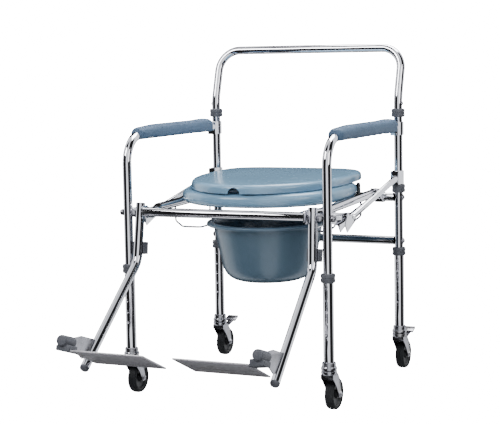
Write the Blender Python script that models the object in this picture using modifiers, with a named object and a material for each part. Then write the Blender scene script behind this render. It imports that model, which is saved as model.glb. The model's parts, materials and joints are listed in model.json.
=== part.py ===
"""Wheeled commode chair: a chromed tube frame with a lifting seat frame, footrests and casters.

The chair faces -Y and stands on Z = 0.  "left" is the sitter's left, at +X.
Sizes are metres, measured from the point on the floor between the four legs;
the chair empty then moves everything so that the outline is centred on the origin.
"""
import math

import bmesh
import bpy
from mathutils import Matrix, Vector

# ---------------------------------------------------------------- driving sizes
LEG_X = 0.260            # half the spacing of the legs across the chair
LEG_Y = 0.250            # half the spacing of the legs front to back
ORIGIN_SHIFT_Y = 0.1362  # puts the origin under the middle of the outline
GAP = 0.0003             # clearance between pieces that touch

TUBE_R = 0.0111          # 22 mm frame tube
TUBE_WALL = 0.0012
LEG_TUBE_R = 0.0128      # lower leg tube, which slides over the frame tube
FRAME_FOOT_Z = 0.165     # lower end of the frame tubes, inside the leg tubes
LEG_TOP_Z = 0.316
LEG_FOOT_Z = 0.118
HOLE_TOP_Z = 0.2895      # highest adjusting hole
HOLE_PITCH = 0.0271
HOLE_COUNT = 5
HOLE_R = 0.0040
BUTTON_Z = HOLE_TOP_Z - (HOLE_COUNT - 1) * HOLE_PITCH

ARM_Z = 0.635
ARM_BEND_R = 0.065
BACK_TOP_Z = 0.839
BACK_LEAN = 0.039        # how far the top bar stands behind the uprights
BACK_BEND_Z = 0.710
BACK_CORNER_R = 0.056
UPPER_CROSS_Z = 0.454
LOWER_CROSS_Z = 0.341

SLEEVE_IN_R = 0.0115
SLEEVE_OUT_R = 0.0142
SLEEVE_REACH = 0.031
ARM_SLEEVE_Z = 0.632
BRACE_SLEEVE_Z = 0.506
SLEEVE_HEIGHT = 0.034
COLLAR_R = 0.0172
COLLAR_HEIGHT = 0.021
ARM_COLLAR_Z = 0.672
BRACE_COLLAR_Z = 0.4775
LEG_COLLAR_Z = 0.3135

BRACE_R = 0.0080
BRACE_X = 0.265
BRACE_REAR_X = 0.2615
BRACE_REAR = (0.2245, 0.5052)   # (y, z) of the brace's two ends
BRACE_FRONT = (-0.112, 0.4380)

PIVOT_Z = 0.451          # bolt through leg, spacer and footrest hanger
PIVOT_R = 0.0030
HOOK_PLATE_X = 0.2110
HANGER_TOP = (0.2246, -0.2500, 0.4748)
HANGER_BEND = (0.2286, -0.2660, 0.3343)
HANGER_END = (0.2380, -0.5110, 0.1200)
HANGER_BEND_R = 0.050

SEAT_PITCH = math.radians(1.66)  # the seat frame rises towards the back
SEAT_AXIS = (0.0, LEG_Y, UPPER_CROSS_Z)
RAIL_Z = 0.0155          # rail centres above the seat frame's axis, in its own frame
FRONT_RAIL_Y = -0.512
RAIL_REAR = (0.2088, -0.0325)
RAIL_FRONT = (0.2172, -0.4300)
RAIL_WELD = (0.1975, -0.5006)

SEAT_HINGE_Y = -0.060    # hinge pin of ring and lid, in the seat frame's own frame
SEAT_HINGE_Z = 0.0350
SEAT_PIN_R = 0.0030
RING = dict(half=0.212, middle=-0.250, front=0.200, rear=0.168, power_front=2.1, power_rear=3.6)
RING_BOTTOM_Z = 0.0205
RING_DEPTH = 0.0335
RING_EDGE_R = 0.0155
OPENING = dict(half=0.112, middle=-0.255, front=0.135, rear=0.115, power_front=2.2, power_rear=2.4)
LID = dict(half=0.1975, middle=-0.188, front=0.262, rear=0.162, power_front=2.15, power_rear=4.2)
LID_BOTTOM_Z = RING_BOTTOM_Z + RING_DEPTH + 0.0010
LID_DEPTH = 0.0220
LID_EDGE_R = 0.0110
SHELL_WALL = 0.0035

BUCKET_Y = -0.250        # bucket axis, in the seat frame's own frame
BUCKET_FLANGE_Z = -0.0410
WIRE_X = 0.1440
WIRE_R = 0.0025
BUCKET_WALL = 0.0025

WHEEL_R = 0.0375
WHEEL_TRAIL = 0.030
WHEEL_WIDTH = 0.0220
AXLE_R = 0.0040
STEM_R = 0.0165
RACE_R = 0.0190

PLATE_TILT = math.radians(24.0)  # toe-up tilt of the footplates
FLIP_AXIS = (0.2400, -0.5820, 0.1940)
FLIP_TILT = math.radians(17.0)
BARREL_R = 0.0130
BARREL_LENGTH = 0.050
PLATE_WIDTH = 0.184
PLATE_LENGTH = 0.120
PLATE_MIDDLE = (0.1280, -0.5465, 0.1540)

SIDES = (("left", 1), ("right", -1))
LEGS = (("front_left", 1, -1), ("front_right", -1, -1), ("rear_left", 1, 1), ("rear_right", -1, 1))


# ---------------------------------------------------------------- scene and materials
for old in list(bpy.data.objects):
    bpy.data.objects.remove(old, do_unlink=True)
PARTS = bpy.data.collections.new("commode_chair")
CUTTERS = bpy.data.collections.new("cutters")
bpy.context.scene.collection.children.link(PARTS)
bpy.context.scene.collection.children.link(CUTTERS)


def material(name, colour, roughness, metallic=0.0):
    made = bpy.data.materials.new(name)
    made.use_nodes = True
    made.diffuse_color = (*colour, 1.0)
    shader = made.node_tree.nodes["Principled BSDF"]
    shader.inputs["Base Color"].default_value = (*colour, 1.0)
    shader.inputs["Roughness"].default_value = roughness
    shader.inputs["Metallic"].default_value = metallic
    return made


CHROME = material("chrome", (0.78, 0.78, 0.80), 0.10, 1.0)
ZINC = material("zinc", (0.62, 0.63, 0.65), 0.30, 1.0)
GREY_PLASTIC = material("grey_plastic", (0.14, 0.14, 0.16), 0.55)
BLACK_STEEL = material("black_steel", (0.02, 0.02, 0.025), 0.45)
PALE_BLUE = material("pale_blue_plastic", (0.36, 0.55, 0.68), 0.25)
BUCKET_BLUE = material("bucket_blue_plastic", (0.10, 0.18, 0.26), 0.35)
PAD_BLUE = material("pad_blue", (0.16, 0.29, 0.42), 0.60)
RUBBER = material("tyre_rubber", (0.03, 0.035, 0.04), 0.75)
HUB_GREY = material("hub_grey", (0.10, 0.10, 0.11), 0.45)
PLATE_GREY = material("footplate_grey", (0.60, 0.61, 0.63), 0.35, 0.6)


# ---------------------------------------------------------------- building helpers
def empty(name, location, parent=None, pitch=0.0):
    made = bpy.data.objects.new(name, None)
    made.location = location
    made.rotation_euler = (pitch, 0.0, 0.0)
    made.parent = parent
    PARTS.objects.link(made)
    return made


def node(name, mesh, finish, parent, location=(0, 0, 0), rotation=(0, 0, 0)):
    made = bpy.data.objects.new(name, mesh)
    made.location = location
    made.rotation_euler = rotation
    made.parent = parent
    PARTS.objects.link(made)
    if not mesh.materials:
        mesh.materials.append(finish)
    return made


def mesh_of(bm, name, smooth_angle=None):
    bmesh.ops.recalc_face_normals(bm, faces=bm.faces)
    mesh = bpy.data.meshes.new(name)
    bm.to_mesh(mesh)
    bm.free()
    if smooth_angle is not None:
        mesh.shade_smooth()
        mesh.set_sharp_from_angle(angle=math.radians(smooth_angle))
    return mesh


def rounded_path(corners, radii, arc_steps=6):
    """The corner points joined by straight runs, each inner corner rounded to its radius."""
    points = [Vector(corners[0])]
    for before, corner, after, radius in zip(corners, corners[1:], corners[2:], radii):
        corner = Vector(corner)
        arrive = (corner - Vector(before)).normalized()
        leave = (Vector(after) - corner).normalized()
        turn = arrive.angle(leave)
        setback = radius * math.tan(turn / 2)
        start = corner - arrive * setback
        inward = (leave - arrive * arrive.dot(leave)).normalized()
        centre = start + inward * radius
        for step in range(arc_steps + 1):
            angle = turn * step / arc_steps
            points.append(centre - inward * radius * math.cos(angle) + arrive * radius * math.sin(angle))
    points.append(Vector(corners[-1]))
    return points


def swept_mesh(name, paths, radius, resolution, caps):
    """A round section swept along each path by a bevelled curve, turned into a mesh."""
    curve = bpy.data.curves.new(name + "_path", "CURVE")
    curve.dimensions = "3D"
    curve.bevel_depth = radius
    curve.bevel_resolution = resolution
    curve.use_fill_caps = caps
    for path in paths:
        spline = curve.splines.new("POLY")
        spline.points.add(len(path) - 1)
        for point, place in zip(spline.points, path):
            point.co = (*place, 1.0)
    guide = bpy.data.objects.new(name + "_path", curve)
    CUTTERS.objects.link(guide)
    evaluated = guide.evaluated_get(bpy.context.evaluated_depsgraph_get())
    swept = bpy.data.meshes.new_from_object(evaluated)
    bpy.data.objects.remove(guide, do_unlink=True)
    bm = bmesh.new()
    bm.from_mesh(swept)
    bmesh.ops.remove_doubles(bm, verts=bm.verts, dist=0.00001)
    return mesh_of(bm, name, 40)


def pipe(name, path, radius, finish, parent, resolution=4, wall=TUBE_WALL):
    """A tube with open ends: a swept skin thickened inwards."""
    made = node(name, swept_mesh(name, [path], radius, resolution, False), finish, parent)
    solidify = made.modifiers.new("wall", "SOLIDIFY")
    solidify.thickness = wall
    solidify.offset = -1.0
    return made


def add_cylinder(bm, radius, start, end, sides=12, end_radius=None):
    start = Vector(start)
    end = Vector(end)
    length = (end - start).length
    turn = (end - start).to_track_quat("Z", "Y").to_matrix().to_4x4()
    place = Matrix.Translation((start + end) / 2) @ turn
    bmesh.ops.create_cone(bm, cap_ends=True, segments=sides, radius1=radius,
                          radius2=radius if end_radius is None else end_radius,
                          depth=length, matrix=place)


def add_box(bm, low, high):
    low = Vector(low)
    high = Vector(high)
    size = high - low
    place = Matrix.Translation((low + high) / 2) @ Matrix.Diagonal((size.x, size.y, size.z, 1.0))
    bmesh.ops.create_cube(bm, size=1.0, matrix=place)


def turned(name, profile, steps, closed=False):
    """A (radius, height) profile, listed top to bottom on its outer side, turned about Z."""
    mesh = bpy.data.meshes.new(name)
    bm = bmesh.new()
    verts = [bm.verts.new((radius, 0.0, height)) for radius, height in profile]
    for first, second in zip(verts, verts[1:]):
        bm.edges.new((first, second))
    if closed:
        bm.edges.new((verts[-1], verts[0]))
    bm.to_mesh(mesh)
    bm.free()
    maker = bpy.data.objects.new(name + "_profile", mesh)
    CUTTERS.objects.link(maker)
    screw = maker.modifiers.new("turn", "SCREW")
    screw.steps = steps
    screw.render_steps = steps
    screw.use_merge_vertices = True
    screw.merge_threshold = 0.00001
    evaluated = maker.evaluated_get(bpy.context.evaluated_depsgraph_get())
    made = bpy.data.meshes.new_from_object(evaluated)
    bpy.data.objects.remove(maker, do_unlink=True)
    made.name = name
    made.shade_smooth()
    made.set_sharp_from_angle(angle=math.radians(35))
    return made


def flat_mesh(name, outlines, thickness):
    """Outlines in the XY plane, the later ones as holes, filled and given a thickness along Z."""
    curve = bpy.data.curves.new(name + "_outline", "CURVE")
    curve.dimensions = "2D"
    curve.fill_mode = "BOTH"
    curve.extrude = thickness / 2
    for outline in outlines:
        spline = curve.splines.new("POLY")
        spline.use_cyclic_u = True
        spline.points.add(len(outline) - 1)
        for point, place in zip(spline.points, outline):
            point.co = (place[0], place[1], 0.0, 1.0)
    guide = bpy.data.objects.new(name + "_outline", curve)
    CUTTERS.objects.link(guide)
    evaluated = guide.evaluated_get(bpy.context.evaluated_depsgraph_get())
    flat = bpy.data.meshes.new_from_object(evaluated)
    bpy.data.objects.remove(guide, do_unlink=True)
    bm = bmesh.new()
    bm.from_mesh(flat)
    bmesh.ops.remove_doubles(bm, verts=bm.verts, dist=0.00001)
    return mesh_of(bm, name, 30)


def arc(centre, radius, start, end, steps):
    """Points on an arc in a plane; the angles are degrees."""
    points = []
    for step in range(steps + 1):
        angle = math.radians(start + (end - start) * step / steps)
        points.append((centre[0] + radius * math.cos(angle), centre[1] + radius * math.sin(angle)))
    return points


def join_meshes(name, placed):
    """(mesh, matrix) pairs placed and gathered in one mesh, faces pointing out."""
    bm = bmesh.new()
    for mesh, place in placed:
        before = set(bm.verts)
        bm.from_mesh(mesh)
        fresh = [vert for vert in bm.verts if vert not in before]
        bmesh.ops.transform(bm, matrix=place, verts=fresh)
    return mesh_of(bm, name, 35)


def evaluated_mesh(made):
    """The object's mesh after its modifiers; the object itself is removed."""
    bpy.context.view_layer.update()
    mesh = bpy.data.meshes.new_from_object(made.evaluated_get(bpy.context.evaluated_depsgraph_get()))
    bpy.data.objects.remove(made, do_unlink=True)
    return mesh


def welded(name, placed):
    """Overlapping solids, given as (mesh, matrix) pairs, joined into one body."""
    pieces = []
    for mesh, place in placed:
        piece = bpy.data.objects.new(name + "_piece", join_meshes(name, [(mesh, place)]))
        CUTTERS.objects.link(piece)
        pieces.append(piece)
    for piece in pieces[1:]:
        boolean(pieces[0], piece, "UNION")
    made = evaluated_mesh(pieces[0])
    for piece in pieces[1:]:
        bpy.data.objects.remove(piece, do_unlink=True)
    made.name = name
    return made


def tube_mesh(name, path, radius, resolution=4, wall=TUBE_WALL):
    """A tube with open ends as a finished mesh, for welding to other solids."""
    return evaluated_mesh(pipe(name, path, radius, CHROME, None, resolution, wall))


def cutter(name, bm, parent):
    made = bpy.data.objects.new(name, mesh_of(bm, name))
    made.parent = parent
    made.hide_render = True
    made.display_type = "WIRE"
    CUTTERS.objects.link(made)
    return made


def boolean(target, tool, operation="DIFFERENCE"):
    modifier = target.modifiers.new(operation.lower(), "BOOLEAN")
    modifier.operation = operation
    modifier.solver = "EXACT"
    modifier.object = tool


def mirrored(points, side):
    return [(side * x, y, z) for x, y, z in points]


CHAIR = empty("chair", (0.0, ORIGIN_SHIFT_Y, 0.0))


# ---------------------------------------------------------------- back frame
def back_path():
    """Up one rear leg, back at the lean, across the top bar and down the other side."""
    rise = BACK_TOP_Z - BACK_BEND_Z
    half = [(LEG_X, LEG_Y, FRAME_FOOT_Z), (LEG_X, LEG_Y, BACK_BEND_Z),
            (LEG_X, LEG_Y + BACK_LEAN, BACK_BEND_Z + rise)]
    corners = half + [(-x, y, z) for x, y, z in reversed(half)]
    return rounded_path(corners, [0.12, BACK_CORNER_R, BACK_CORNER_R, 0.12], 4)


back_tube = pipe("back_frame_tube", back_path(), TUBE_R, CHROME, CHAIR)
holes = bmesh.new()
for side in (1, -1):
    add_cylinder(holes, HOLE_R, (side * LEG_X, LEG_Y - 0.018, BUTTON_Z), (side * LEG_X, LEG_Y, BUTTON_Z), 8)
boolean(back_tube, cutter("rear_button_holes", holes, CHAIR))

CROSS_HALF = LEG_X - TUBE_R - GAP
for name, height in (("rear_cross_tube_upper", UPPER_CROSS_Z), ("rear_cross_tube_lower", LOWER_CROSS_Z)):
    pipe(name, [(-CROSS_HALF, LEG_Y, height), (CROSS_HALF, LEG_Y, height)], TUBE_R, CHROME, CHAIR)


COLLAR_BORE_R = TUBE_R + 0.0004


def collar_mesh(bore):
    half = COLLAR_HEIGHT / 2
    soft = 0.0025
    profile = [(COLLAR_R - soft, half), (COLLAR_R, half - soft), (COLLAR_R, soft - half),
               (COLLAR_R - soft, -half), (bore, -half), (bore, half)]
    return turned("collar", profile, 14, closed=True)


COLLAR = collar_mesh(COLLAR_BORE_R)
for label, side in SIDES:
    for name, height in (("arm_collar", ARM_COLLAR_Z), ("brace_collar", BRACE_COLLAR_Z)):
        node(f"{name}_{label}", COLLAR, GREY_PLASTIC, CHAIR, (side * LEG_X, LEG_Y, height))


# ---------------------------------------------------------------- side frames
def sleeve_mesh(height):
    """A band wrapped round the upright, drawn out forwards to a flat end that a tube is welded to."""
    half = TUBE_R - 0.0003
    spread = math.degrees(math.acos(half / SLEEVE_OUT_R))
    outer = arc((0, 0), SLEEVE_OUT_R, -spread, 180 + spread, 12)
    outer += [(-half, -SLEEVE_REACH), (half, -SLEEVE_REACH)]
    inner = arc((0, 0), SLEEVE_IN_R, 0, 360 - 360 / 16, 15)
    return flat_mesh("sleeve", [outer, inner], height)


BRACKET_CHEEK = [(-0.2385, 0.4610), (-0.2050, 0.4610), (-0.1560, 0.4550), (-0.1020, 0.4500),
                 (-0.0990, 0.4310), (-0.1330, 0.4200), (-0.1620, 0.4090), (-0.1760, 0.4260),
                 (-0.2385, 0.4400)]
BRACKET_WING = [(-0.1530, 0.4560), (-0.1460, 0.4470), (-0.1150, 0.4480), (-0.1040, 0.4320),
                (-0.1600, 0.4085), (-0.1730, 0.4270), (-0.1640, 0.4440)]
CHEEK_X = 0.2577
WING_X = 0.2738
PLATE = 0.0025
# turns a flat outline drawn as (y, z) into the YZ plane, its thickness along X
TO_YZ = Matrix(((0, 0, 1, 0), (1, 0, 0, 0), (0, 1, 0, 0), (0, 0, 0, 1)))


def brace_mesh(side):
    """Brace tube, its hinge sleeve, the plates at its front end, a stay rod and two bolt heads."""
    path = mirrored([(BRACE_X, *BRACE_FRONT), (BRACE_REAR_X, *BRACE_REAR)], side)
    stay_path = mirrored([(CHEEK_X - 0.0040, -0.1100, 0.4390), (0.2480, 0.0400, 0.4600),
                          (0.2555, 0.0620, 0.4660)], side)
    pieces = [
        (tube_mesh("brace_tube", path, BRACE_R, 3), Matrix.Identity(4)),
        (sleeve_mesh(SLEEVE_HEIGHT), Matrix.Translation((side * LEG_X, LEG_Y, BRACE_SLEEVE_Z))),
        (flat_mesh("cheek", [BRACKET_CHEEK], PLATE), Matrix.Translation((side * CHEEK_X, 0, 0)) @ TO_YZ),
        (flat_mesh("wing", [BRACKET_WING], PLATE), Matrix.Translation((side * WING_X, 0, 0)) @ TO_YZ),
        (swept_mesh("stay", [stay_path], 0.0042, 2, True), Matrix.Identity(4)),
    ]
    for y, z, inner, length, radius in ((-0.1850, 0.4460, CHEEK_X, 0.0120, 0.0075),
                                        (-0.2090, 0.4520, CHEEK_X, 0.0060, 0.0062),
                                        (-0.1180, 0.4405, WING_X, 0.0052, 0.0062)):
        bm = bmesh.new()
        add_cylinder(bm, radius, (side * inner, y, z), (side * (inner + length), y, z), 12, radius - 0.0012)
        pieces.append((mesh_of(bm, "boss", 35), Matrix.Identity(4)))
    return welded("brace", pieces)


def pivot_bolt_mesh(side):
    """The bolt through hanger, conical spacer and leg, with its washer and domed nut outside."""
    leg_in = LEG_X - TUBE_R - GAP
    hanger_out = HANGER_TOP[0] + TUBE_R + 0.0016
    leg_out = LEG_X + TUBE_R + GAP
    profile = [(PIVOT_R, side * (HOOK_PLATE_X - 0.0008)), (PIVOT_R, side * hanger_out),
               (0.0070, side * hanger_out), (0.0098, side * (hanger_out + leg_in) / 2),
               (0.0070, side * leg_in), (PIVOT_R, side * leg_in), (PIVOT_R, side * leg_out),
               (0.0078, side * leg_out), (0.0078, side * (leg_out + 0.0055)),
               (0.0060, side * (leg_out + 0.0085)), (0.0025, side * (leg_out + 0.0105))]
    profile = [(0.0, profile[0][1])] + profile + [(0.0, profile[-1][1])]
    if side > 0:
        profile.reverse()
    lay_along_x = Matrix.Translation((0, -LEG_Y, PIVOT_Z)) @ Matrix.Rotation(math.radians(90), 4, "Y")
    return join_meshes("pivot_bolt", [(turned("bolt", profile, 12), lay_along_x)])


PAD_FRONT = -0.200
PAD_REAR = 0.190
PAD_HALF = 0.0255


def pad_mesh(name):
    """An armrest pad: a channel section round the arm tube, drawn in XZ and given its length."""
    groove = TUBE_R + 0.0004
    outline = [(groove, -0.0100)] + arc((0, 0), groove, 0, 180, 8) + [(-groove, -0.0100)]
    outline += [(-PAD_HALF + 0.004, -0.0100), (-PAD_HALF, -0.0060), (-PAD_HALF, 0.0120)]
    outline += arc((-PAD_HALF + 0.012, 0.0130), 0.012, 180, 90, 3)[1:]
    outline += arc((PAD_HALF - 0.012, 0.0130), 0.012, 90, 0, 3)[:-1]
    outline += [(PAD_HALF, 0.0120), (PAD_HALF, -0.0060), (PAD_HALF - 0.004, -0.0100)]
    flat = flat_mesh(name, [outline], PAD_REAR - PAD_FRONT)
    # the outline's Y becomes Z, and its thickness runs along Y
    stand = Matrix(((1, 0, 0, 0), (0, 0, 1, (PAD_REAR + PAD_FRONT) / 2), (0, 1, 0, 0), (0, 0, 0, 1)))
    return join_meshes(name, [(flat, stand)])


HANGER_LEAN = math.atan2(HANGER_TOP[1] - HANGER_BEND[1], HANGER_TOP[2] - HANGER_BEND[2])
LATCH_Z = 0.3665


def latch_mesh(name):
    """A clip block behind the hanger tube, with a round notch that holds half of the tube."""
    notch = arc((0, 0), TUBE_R + 0.0010, 180, 0, 8)
    outline = [(-0.0145, -0.0010), *notch, (0.0155, -0.0010), (0.0155, 0.0235), (0.0110, 0.0270),
               (-0.0110, 0.0270), (-0.0145, 0.0235)]
    return flat_mesh(name, [outline], 0.0300)


for label, side in SIDES:
    arm_path = rounded_path(
        [(side * LEG_X, -LEG_Y, FRAME_FOOT_Z), (side * LEG_X, -LEG_Y, ARM_Z),
         (side * LEG_X, LEG_Y - SLEEVE_REACH + 0.0050, ARM_Z)], [ARM_BEND_R], 5)
    sleeve_place = Matrix.Translation((side * LEG_X, LEG_Y, ARM_SLEEVE_Z))
    frame_mesh = welded("side_frame", [(tube_mesh("arm_tube", arm_path, TUBE_R), Matrix.Identity(4)),
                                       (sleeve_mesh(SLEEVE_HEIGHT), sleeve_place)])
    side_frame = node(f"side_frame_tube_{label}", frame_mesh, CHROME, CHAIR)
    holes = bmesh.new()
    add_cylinder(holes, HOLE_R, (side * LEG_X, -LEG_Y - 0.018, BUTTON_Z), (side * LEG_X, -LEG_Y, BUTTON_Z), 8)
    add_cylinder(holes, PIVOT_R + 0.0005, (side * (LEG_X - 0.02), -LEG_Y, PIVOT_Z),
                 (side * (LEG_X + 0.02), -LEG_Y, PIVOT_Z), 12)
    boolean(side_frame, cutter(f"front_leg_holes_{label}", holes, CHAIR))
    node(f"brace_{label}", brace_mesh(side), CHROME, CHAIR)
    node(f"pivot_bolt_{label}", pivot_bolt_mesh(side), ZINC, CHAIR)
    node(f"armrest_pad_{label}", pad_mesh("armrest_pad"), PAD_BLUE, CHAIR, (side * LEG_X, 0, ARM_Z))

    along = (LATCH_Z - HANGER_TOP[2]) / (HANGER_BEND[2] - HANGER_TOP[2])
    beside = Vector(HANGER_TOP).lerp(Vector(HANGER_BEND), along)
    latch = latch_mesh("latch")
    if side < 0:
        latch.transform(Matrix.Diagonal((-1, 1, 1, 1)))
        latch.flip_normals()
    node(f"hanger_latch_{label}", latch, GREY_PLASTIC, CHAIR,
         (side * beside.x, beside.y, beside.z), (-HANGER_LEAN, 0, 0))


# ---------------------------------------------------------------- leg extensions, buttons and casters
def leg_extension_mesh():
    """The lower leg tube with its row of adjusting holes, and the caster's plug and upper race."""
    tube = tube_mesh("leg_tube", [(0, 0, LEG_FOOT_Z - 0.0010), (0, 0, LEG_TOP_Z)], LEG_TUBE_R)
    profile = [(0.0, LEG_FOOT_Z + 0.0120), (LEG_TUBE_R - 0.0006, LEG_FOOT_Z + 0.0120),
               (LEG_TUBE_R - 0.0006, LEG_FOOT_Z), (STEM_R - 0.0020, LEG_FOOT_Z), (STEM_R, 0.1155),
               (STEM_R, 0.1090), (RACE_R - 0.0020, 0.1070), (RACE_R, 0.1050), (RACE_R, 0.1010),
               (RACE_R - 0.0030, 0.0995), (0.0, 0.0995)]
    plug = turned("caster_plug", profile, 12)
    both = welded("leg_tube", [(tube, Matrix.Identity(4)), (plug, Matrix.Identity(4))])
    maker = node("leg_extension_maker", both, CHROME, None)
    bm = bmesh.new()
    for index in range(HOLE_COUNT):
        height = HOLE_TOP_Z - index * HOLE_PITCH
        add_cylinder(bm, HOLE_R, (0, -0.018, height), (0, 0, height), 6)
    tool = cutter("leg_holes", bm, None)
    boolean(maker, tool)
    made = evaluated_mesh(maker)
    bpy.data.objects.remove(tool, do_unlink=True)
    return made


def fork_mesh():
    """Lower bearing ring, two tapered fork legs and the axle, joined into one stamped piece."""
    crown = turned("crown", [(0.0, 0.0992), (RACE_R - 0.002, 0.0992), (RACE_R, 0.0970),
                             (RACE_R, 0.0920), (RACE_R - 0.003, 0.0880), (0.0, 0.0850)], 12)
    half = WHEEL_WIDTH / 2 + 0.0035
    leg = [(-0.0150, 0.0900), (0.0170, 0.0900), (0.0330, 0.0700), (WHEEL_TRAIL + 0.0085, WHEEL_R)]
    leg += arc((WHEEL_TRAIL, WHEEL_R), 0.0085, 0, -180, 5)[1:]
    leg += [(0.0100, 0.0560), (-0.0080, 0.0760)]
    cheek = flat_mesh("fork_leg", [leg], 0.0022)
    bm = bmesh.new()
    add_box(bm, (-half - 0.0011, -0.0140, 0.0790), (half + 0.0011, 0.0160, 0.0895))
    bridge = mesh_of(bm, "bridge")
    bm = bmesh.new()
    reach = half + 0.0045
    add_cylinder(bm, AXLE_R, (-reach, WHEEL_TRAIL, WHEEL_R), (reach, WHEEL_TRAIL, WHEEL_R), 12)
    axle = mesh_of(bm, "axle", 35)
    nuts = []
    for side in (-1, 1):
        bm = bmesh.new()
        add_cylinder(bm, 0.0070, (side * (half + 0.0005), WHEEL_TRAIL, WHEEL_R),
                     (side * (half + 0.0038), WHEEL_TRAIL, WHEEL_R), 6)
        nuts.append(mesh_of(bm, "nut"))
    return welded("caster_fork", [
        (crown, Matrix.Identity(4)), (bridge, Matrix.Identity(4)),
        (cheek, Matrix.Translation((half, 0, 0)) @ TO_YZ), (cheek, Matrix.Translation((-half, 0, 0)) @ TO_YZ),
        (axle, Matrix.Identity(4)), (nuts[0], Matrix.Identity(4)), (nuts[1], Matrix.Identity(4))])


def tyre_mesh():
    half = WHEEL_WIDTH / 2
    inner = 0.0290
    profile = [(inner, half - 0.001), (WHEEL_R - 0.0050, half), (WHEEL_R - 0.0015, half - 0.0035),
               (WHEEL_R, 0.0030), (WHEEL_R, -0.0030), (WHEEL_R - 0.0015, 0.0035 - half),
               (WHEEL_R - 0.0050, -half), (inner, 0.001 - half)]
    return turned("tyre", profile, 20, closed=True)


def hub_mesh():
    half = WHEEL_WIDTH / 2
    bore = AXLE_R + 0.0006
    profile = [(bore, half), (0.0100, half), (0.0110, 0.0045), (0.0240, 0.0045), (0.0283, half - 0.0015),
               (0.0283, 0.0015 - half), (0.0240, -0.0045), (0.0110, -0.0045), (0.0100, -half), (bore, -half)]
    return turned("hub", profile, 14, closed=True)


def pedal_mesh():
    """The brake pedal: a bent plate over the wheel with a broad tread at its tail."""
    outline = [(0.0168, 0.0795), (0.0420, 0.0800), (0.0640, 0.0850), (0.0860, 0.0945), (0.0848, 0.0972),
               (0.0625, 0.0880), (0.0420, 0.0830), (0.0168, 0.0825)]
    plate = flat_mesh("pedal_plate", [outline], 0.0150)
    tread_outline = [(0.0652, 0.0878), (0.0866, 0.0967), (0.0840, 0.1016), (0.0632, 0.0930)]
    tread = flat_mesh("pedal_tread", [tread_outline], 0.0300)
    return welded("pedal", [(plate, TO_YZ), (tread, TO_YZ)])


def button_mesh():
    """The domed cap of a spring button, its round end pointing along -Y."""
    cap = turned("button", [(0.0, 0.0024), (0.0016, 0.0020), (0.0032, 0.0008), (0.0033, 0.0), (0.0, 0.0)], 10)
    return join_meshes("button", [(cap, Matrix.Rotation(math.radians(90), 4, "X"))])


LEG_EXTENSION = leg_extension_mesh()
FORK = fork_mesh()
TYRE = tyre_mesh()
HUB = hub_mesh()
BUTTON = button_mesh()
PEDAL = pedal_mesh()
TURN_TO_X = (0.0, math.radians(90), 0.0)


def collar_over_leg():
    """The leg's top collar: a cap over the leg tube with a smaller bore for the frame tube."""
    half = COLLAR_HEIGHT / 2
    low_bore = LEG_TUBE_R + 0.0005
    step = LEG_TOP_Z - LEG_COLLAR_Z + 0.0004
    soft = 0.0025
    profile = [(COLLAR_R - soft, half), (COLLAR_R, half - soft), (COLLAR_R, soft - half),
               (COLLAR_R - soft, -half), (low_bore, -half), (low_bore, step), (COLLAR_BORE_R, step),
               (COLLAR_BORE_R, half)]
    return turned("leg_collar", profile, 14, closed=True)


LEG_COLLAR = collar_over_leg()
for label, side, end in LEGS:
    x = side * LEG_X
    y = end * LEG_Y
    node(f"leg_extension_{label}", LEG_EXTENSION, CHROME, CHAIR, (x, y, 0))
    node(f"leg_collar_{label}", LEG_COLLAR, GREY_PLASTIC, CHAIR, (x, y, LEG_COLLAR_Z))
    node(f"leg_button_{label}", BUTTON, ZINC, CHAIR, (x, y - LEG_TUBE_R - GAP, BUTTON_Z))
    swivel = empty(f"caster_swivel_{label}", (x, y, 0), CHAIR)
    node(f"caster_fork_{label}", FORK, ZINC, swivel)
    axle_place = (0, WHEEL_TRAIL, WHEEL_R)
    node(f"tyre_{label}", TYRE, RUBBER, swivel, axle_place, TURN_TO_X)
    node(f"hub_{label}", HUB, HUB_GREY, swivel, axle_place, TURN_TO_X)
    if end > 0:
        node(f"brake_pedal_{label}", PEDAL, ZINC, swivel)


# ---------------------------------------------------------------- footrests
def comb_outline():
    """The footplate cut front to back: a flat plate whose upper face carries low ribs."""
    half = PLATE_LENGTH / 2
    ribs = 7
    pitch = (PLATE_LENGTH - 0.010) / ribs
    outline = [(-half, -0.0025), (half, -0.0025), (half, 0.0020)]
    for index in range(ribs):
        middle = half - 0.005 - pitch * (index + 0.5)
        outline += [(middle + 0.0045, 0.0020), (middle + 0.0030, 0.0040),
                    (middle - 0.0030, 0.0040), (middle - 0.0045, 0.0020)]
    outline.append((-half, 0.0020))
    return outline


def knuckle_mesh():
    """A saddle block under the barrel that reaches in to the plate; drawn across the flip axis."""
    outline = [(-0.0196, -0.0090), (-0.0080, -0.0075), (0.0080, -0.0075), (0.0150, -0.0110),
               (0.0150, -0.0220), (-0.0196, -0.0262)]
    return flat_mesh("knuckle", [outline], 0.0360)


def barrel_mesh():
    half = BARREL_LENGTH / 2
    bore = 0.0056
    profile = [(0.0, half), (BARREL_R - 0.002, half), (BARREL_R, half - 0.002), (BARREL_R, 0.002 - half),
               (BARREL_R - 0.002, -half), (bore, -half), (bore, half - 0.006), (0.0, half - 0.006)]
    return turned("barrel", profile, 14)


def hanger_plug_mesh():
    """The rounded plug that closes the hanger's lower end."""
    return turned("plug", [(0.0, 0.0030), (TUBE_R + 0.0003, 0.0030), (TUBE_R + 0.0003, -0.0040),
                           (0.0085, -0.0075), (0.0, -0.0085)], 12)


MIRROR = {1: Matrix.Identity(4), -1: Matrix.Diagonal((-1, 1, 1, 1))}
PLATE_FRAME = Matrix.Translation(PLATE_MIDDLE) @ Matrix.Rotation(-PLATE_TILT, 4, "X")
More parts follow.
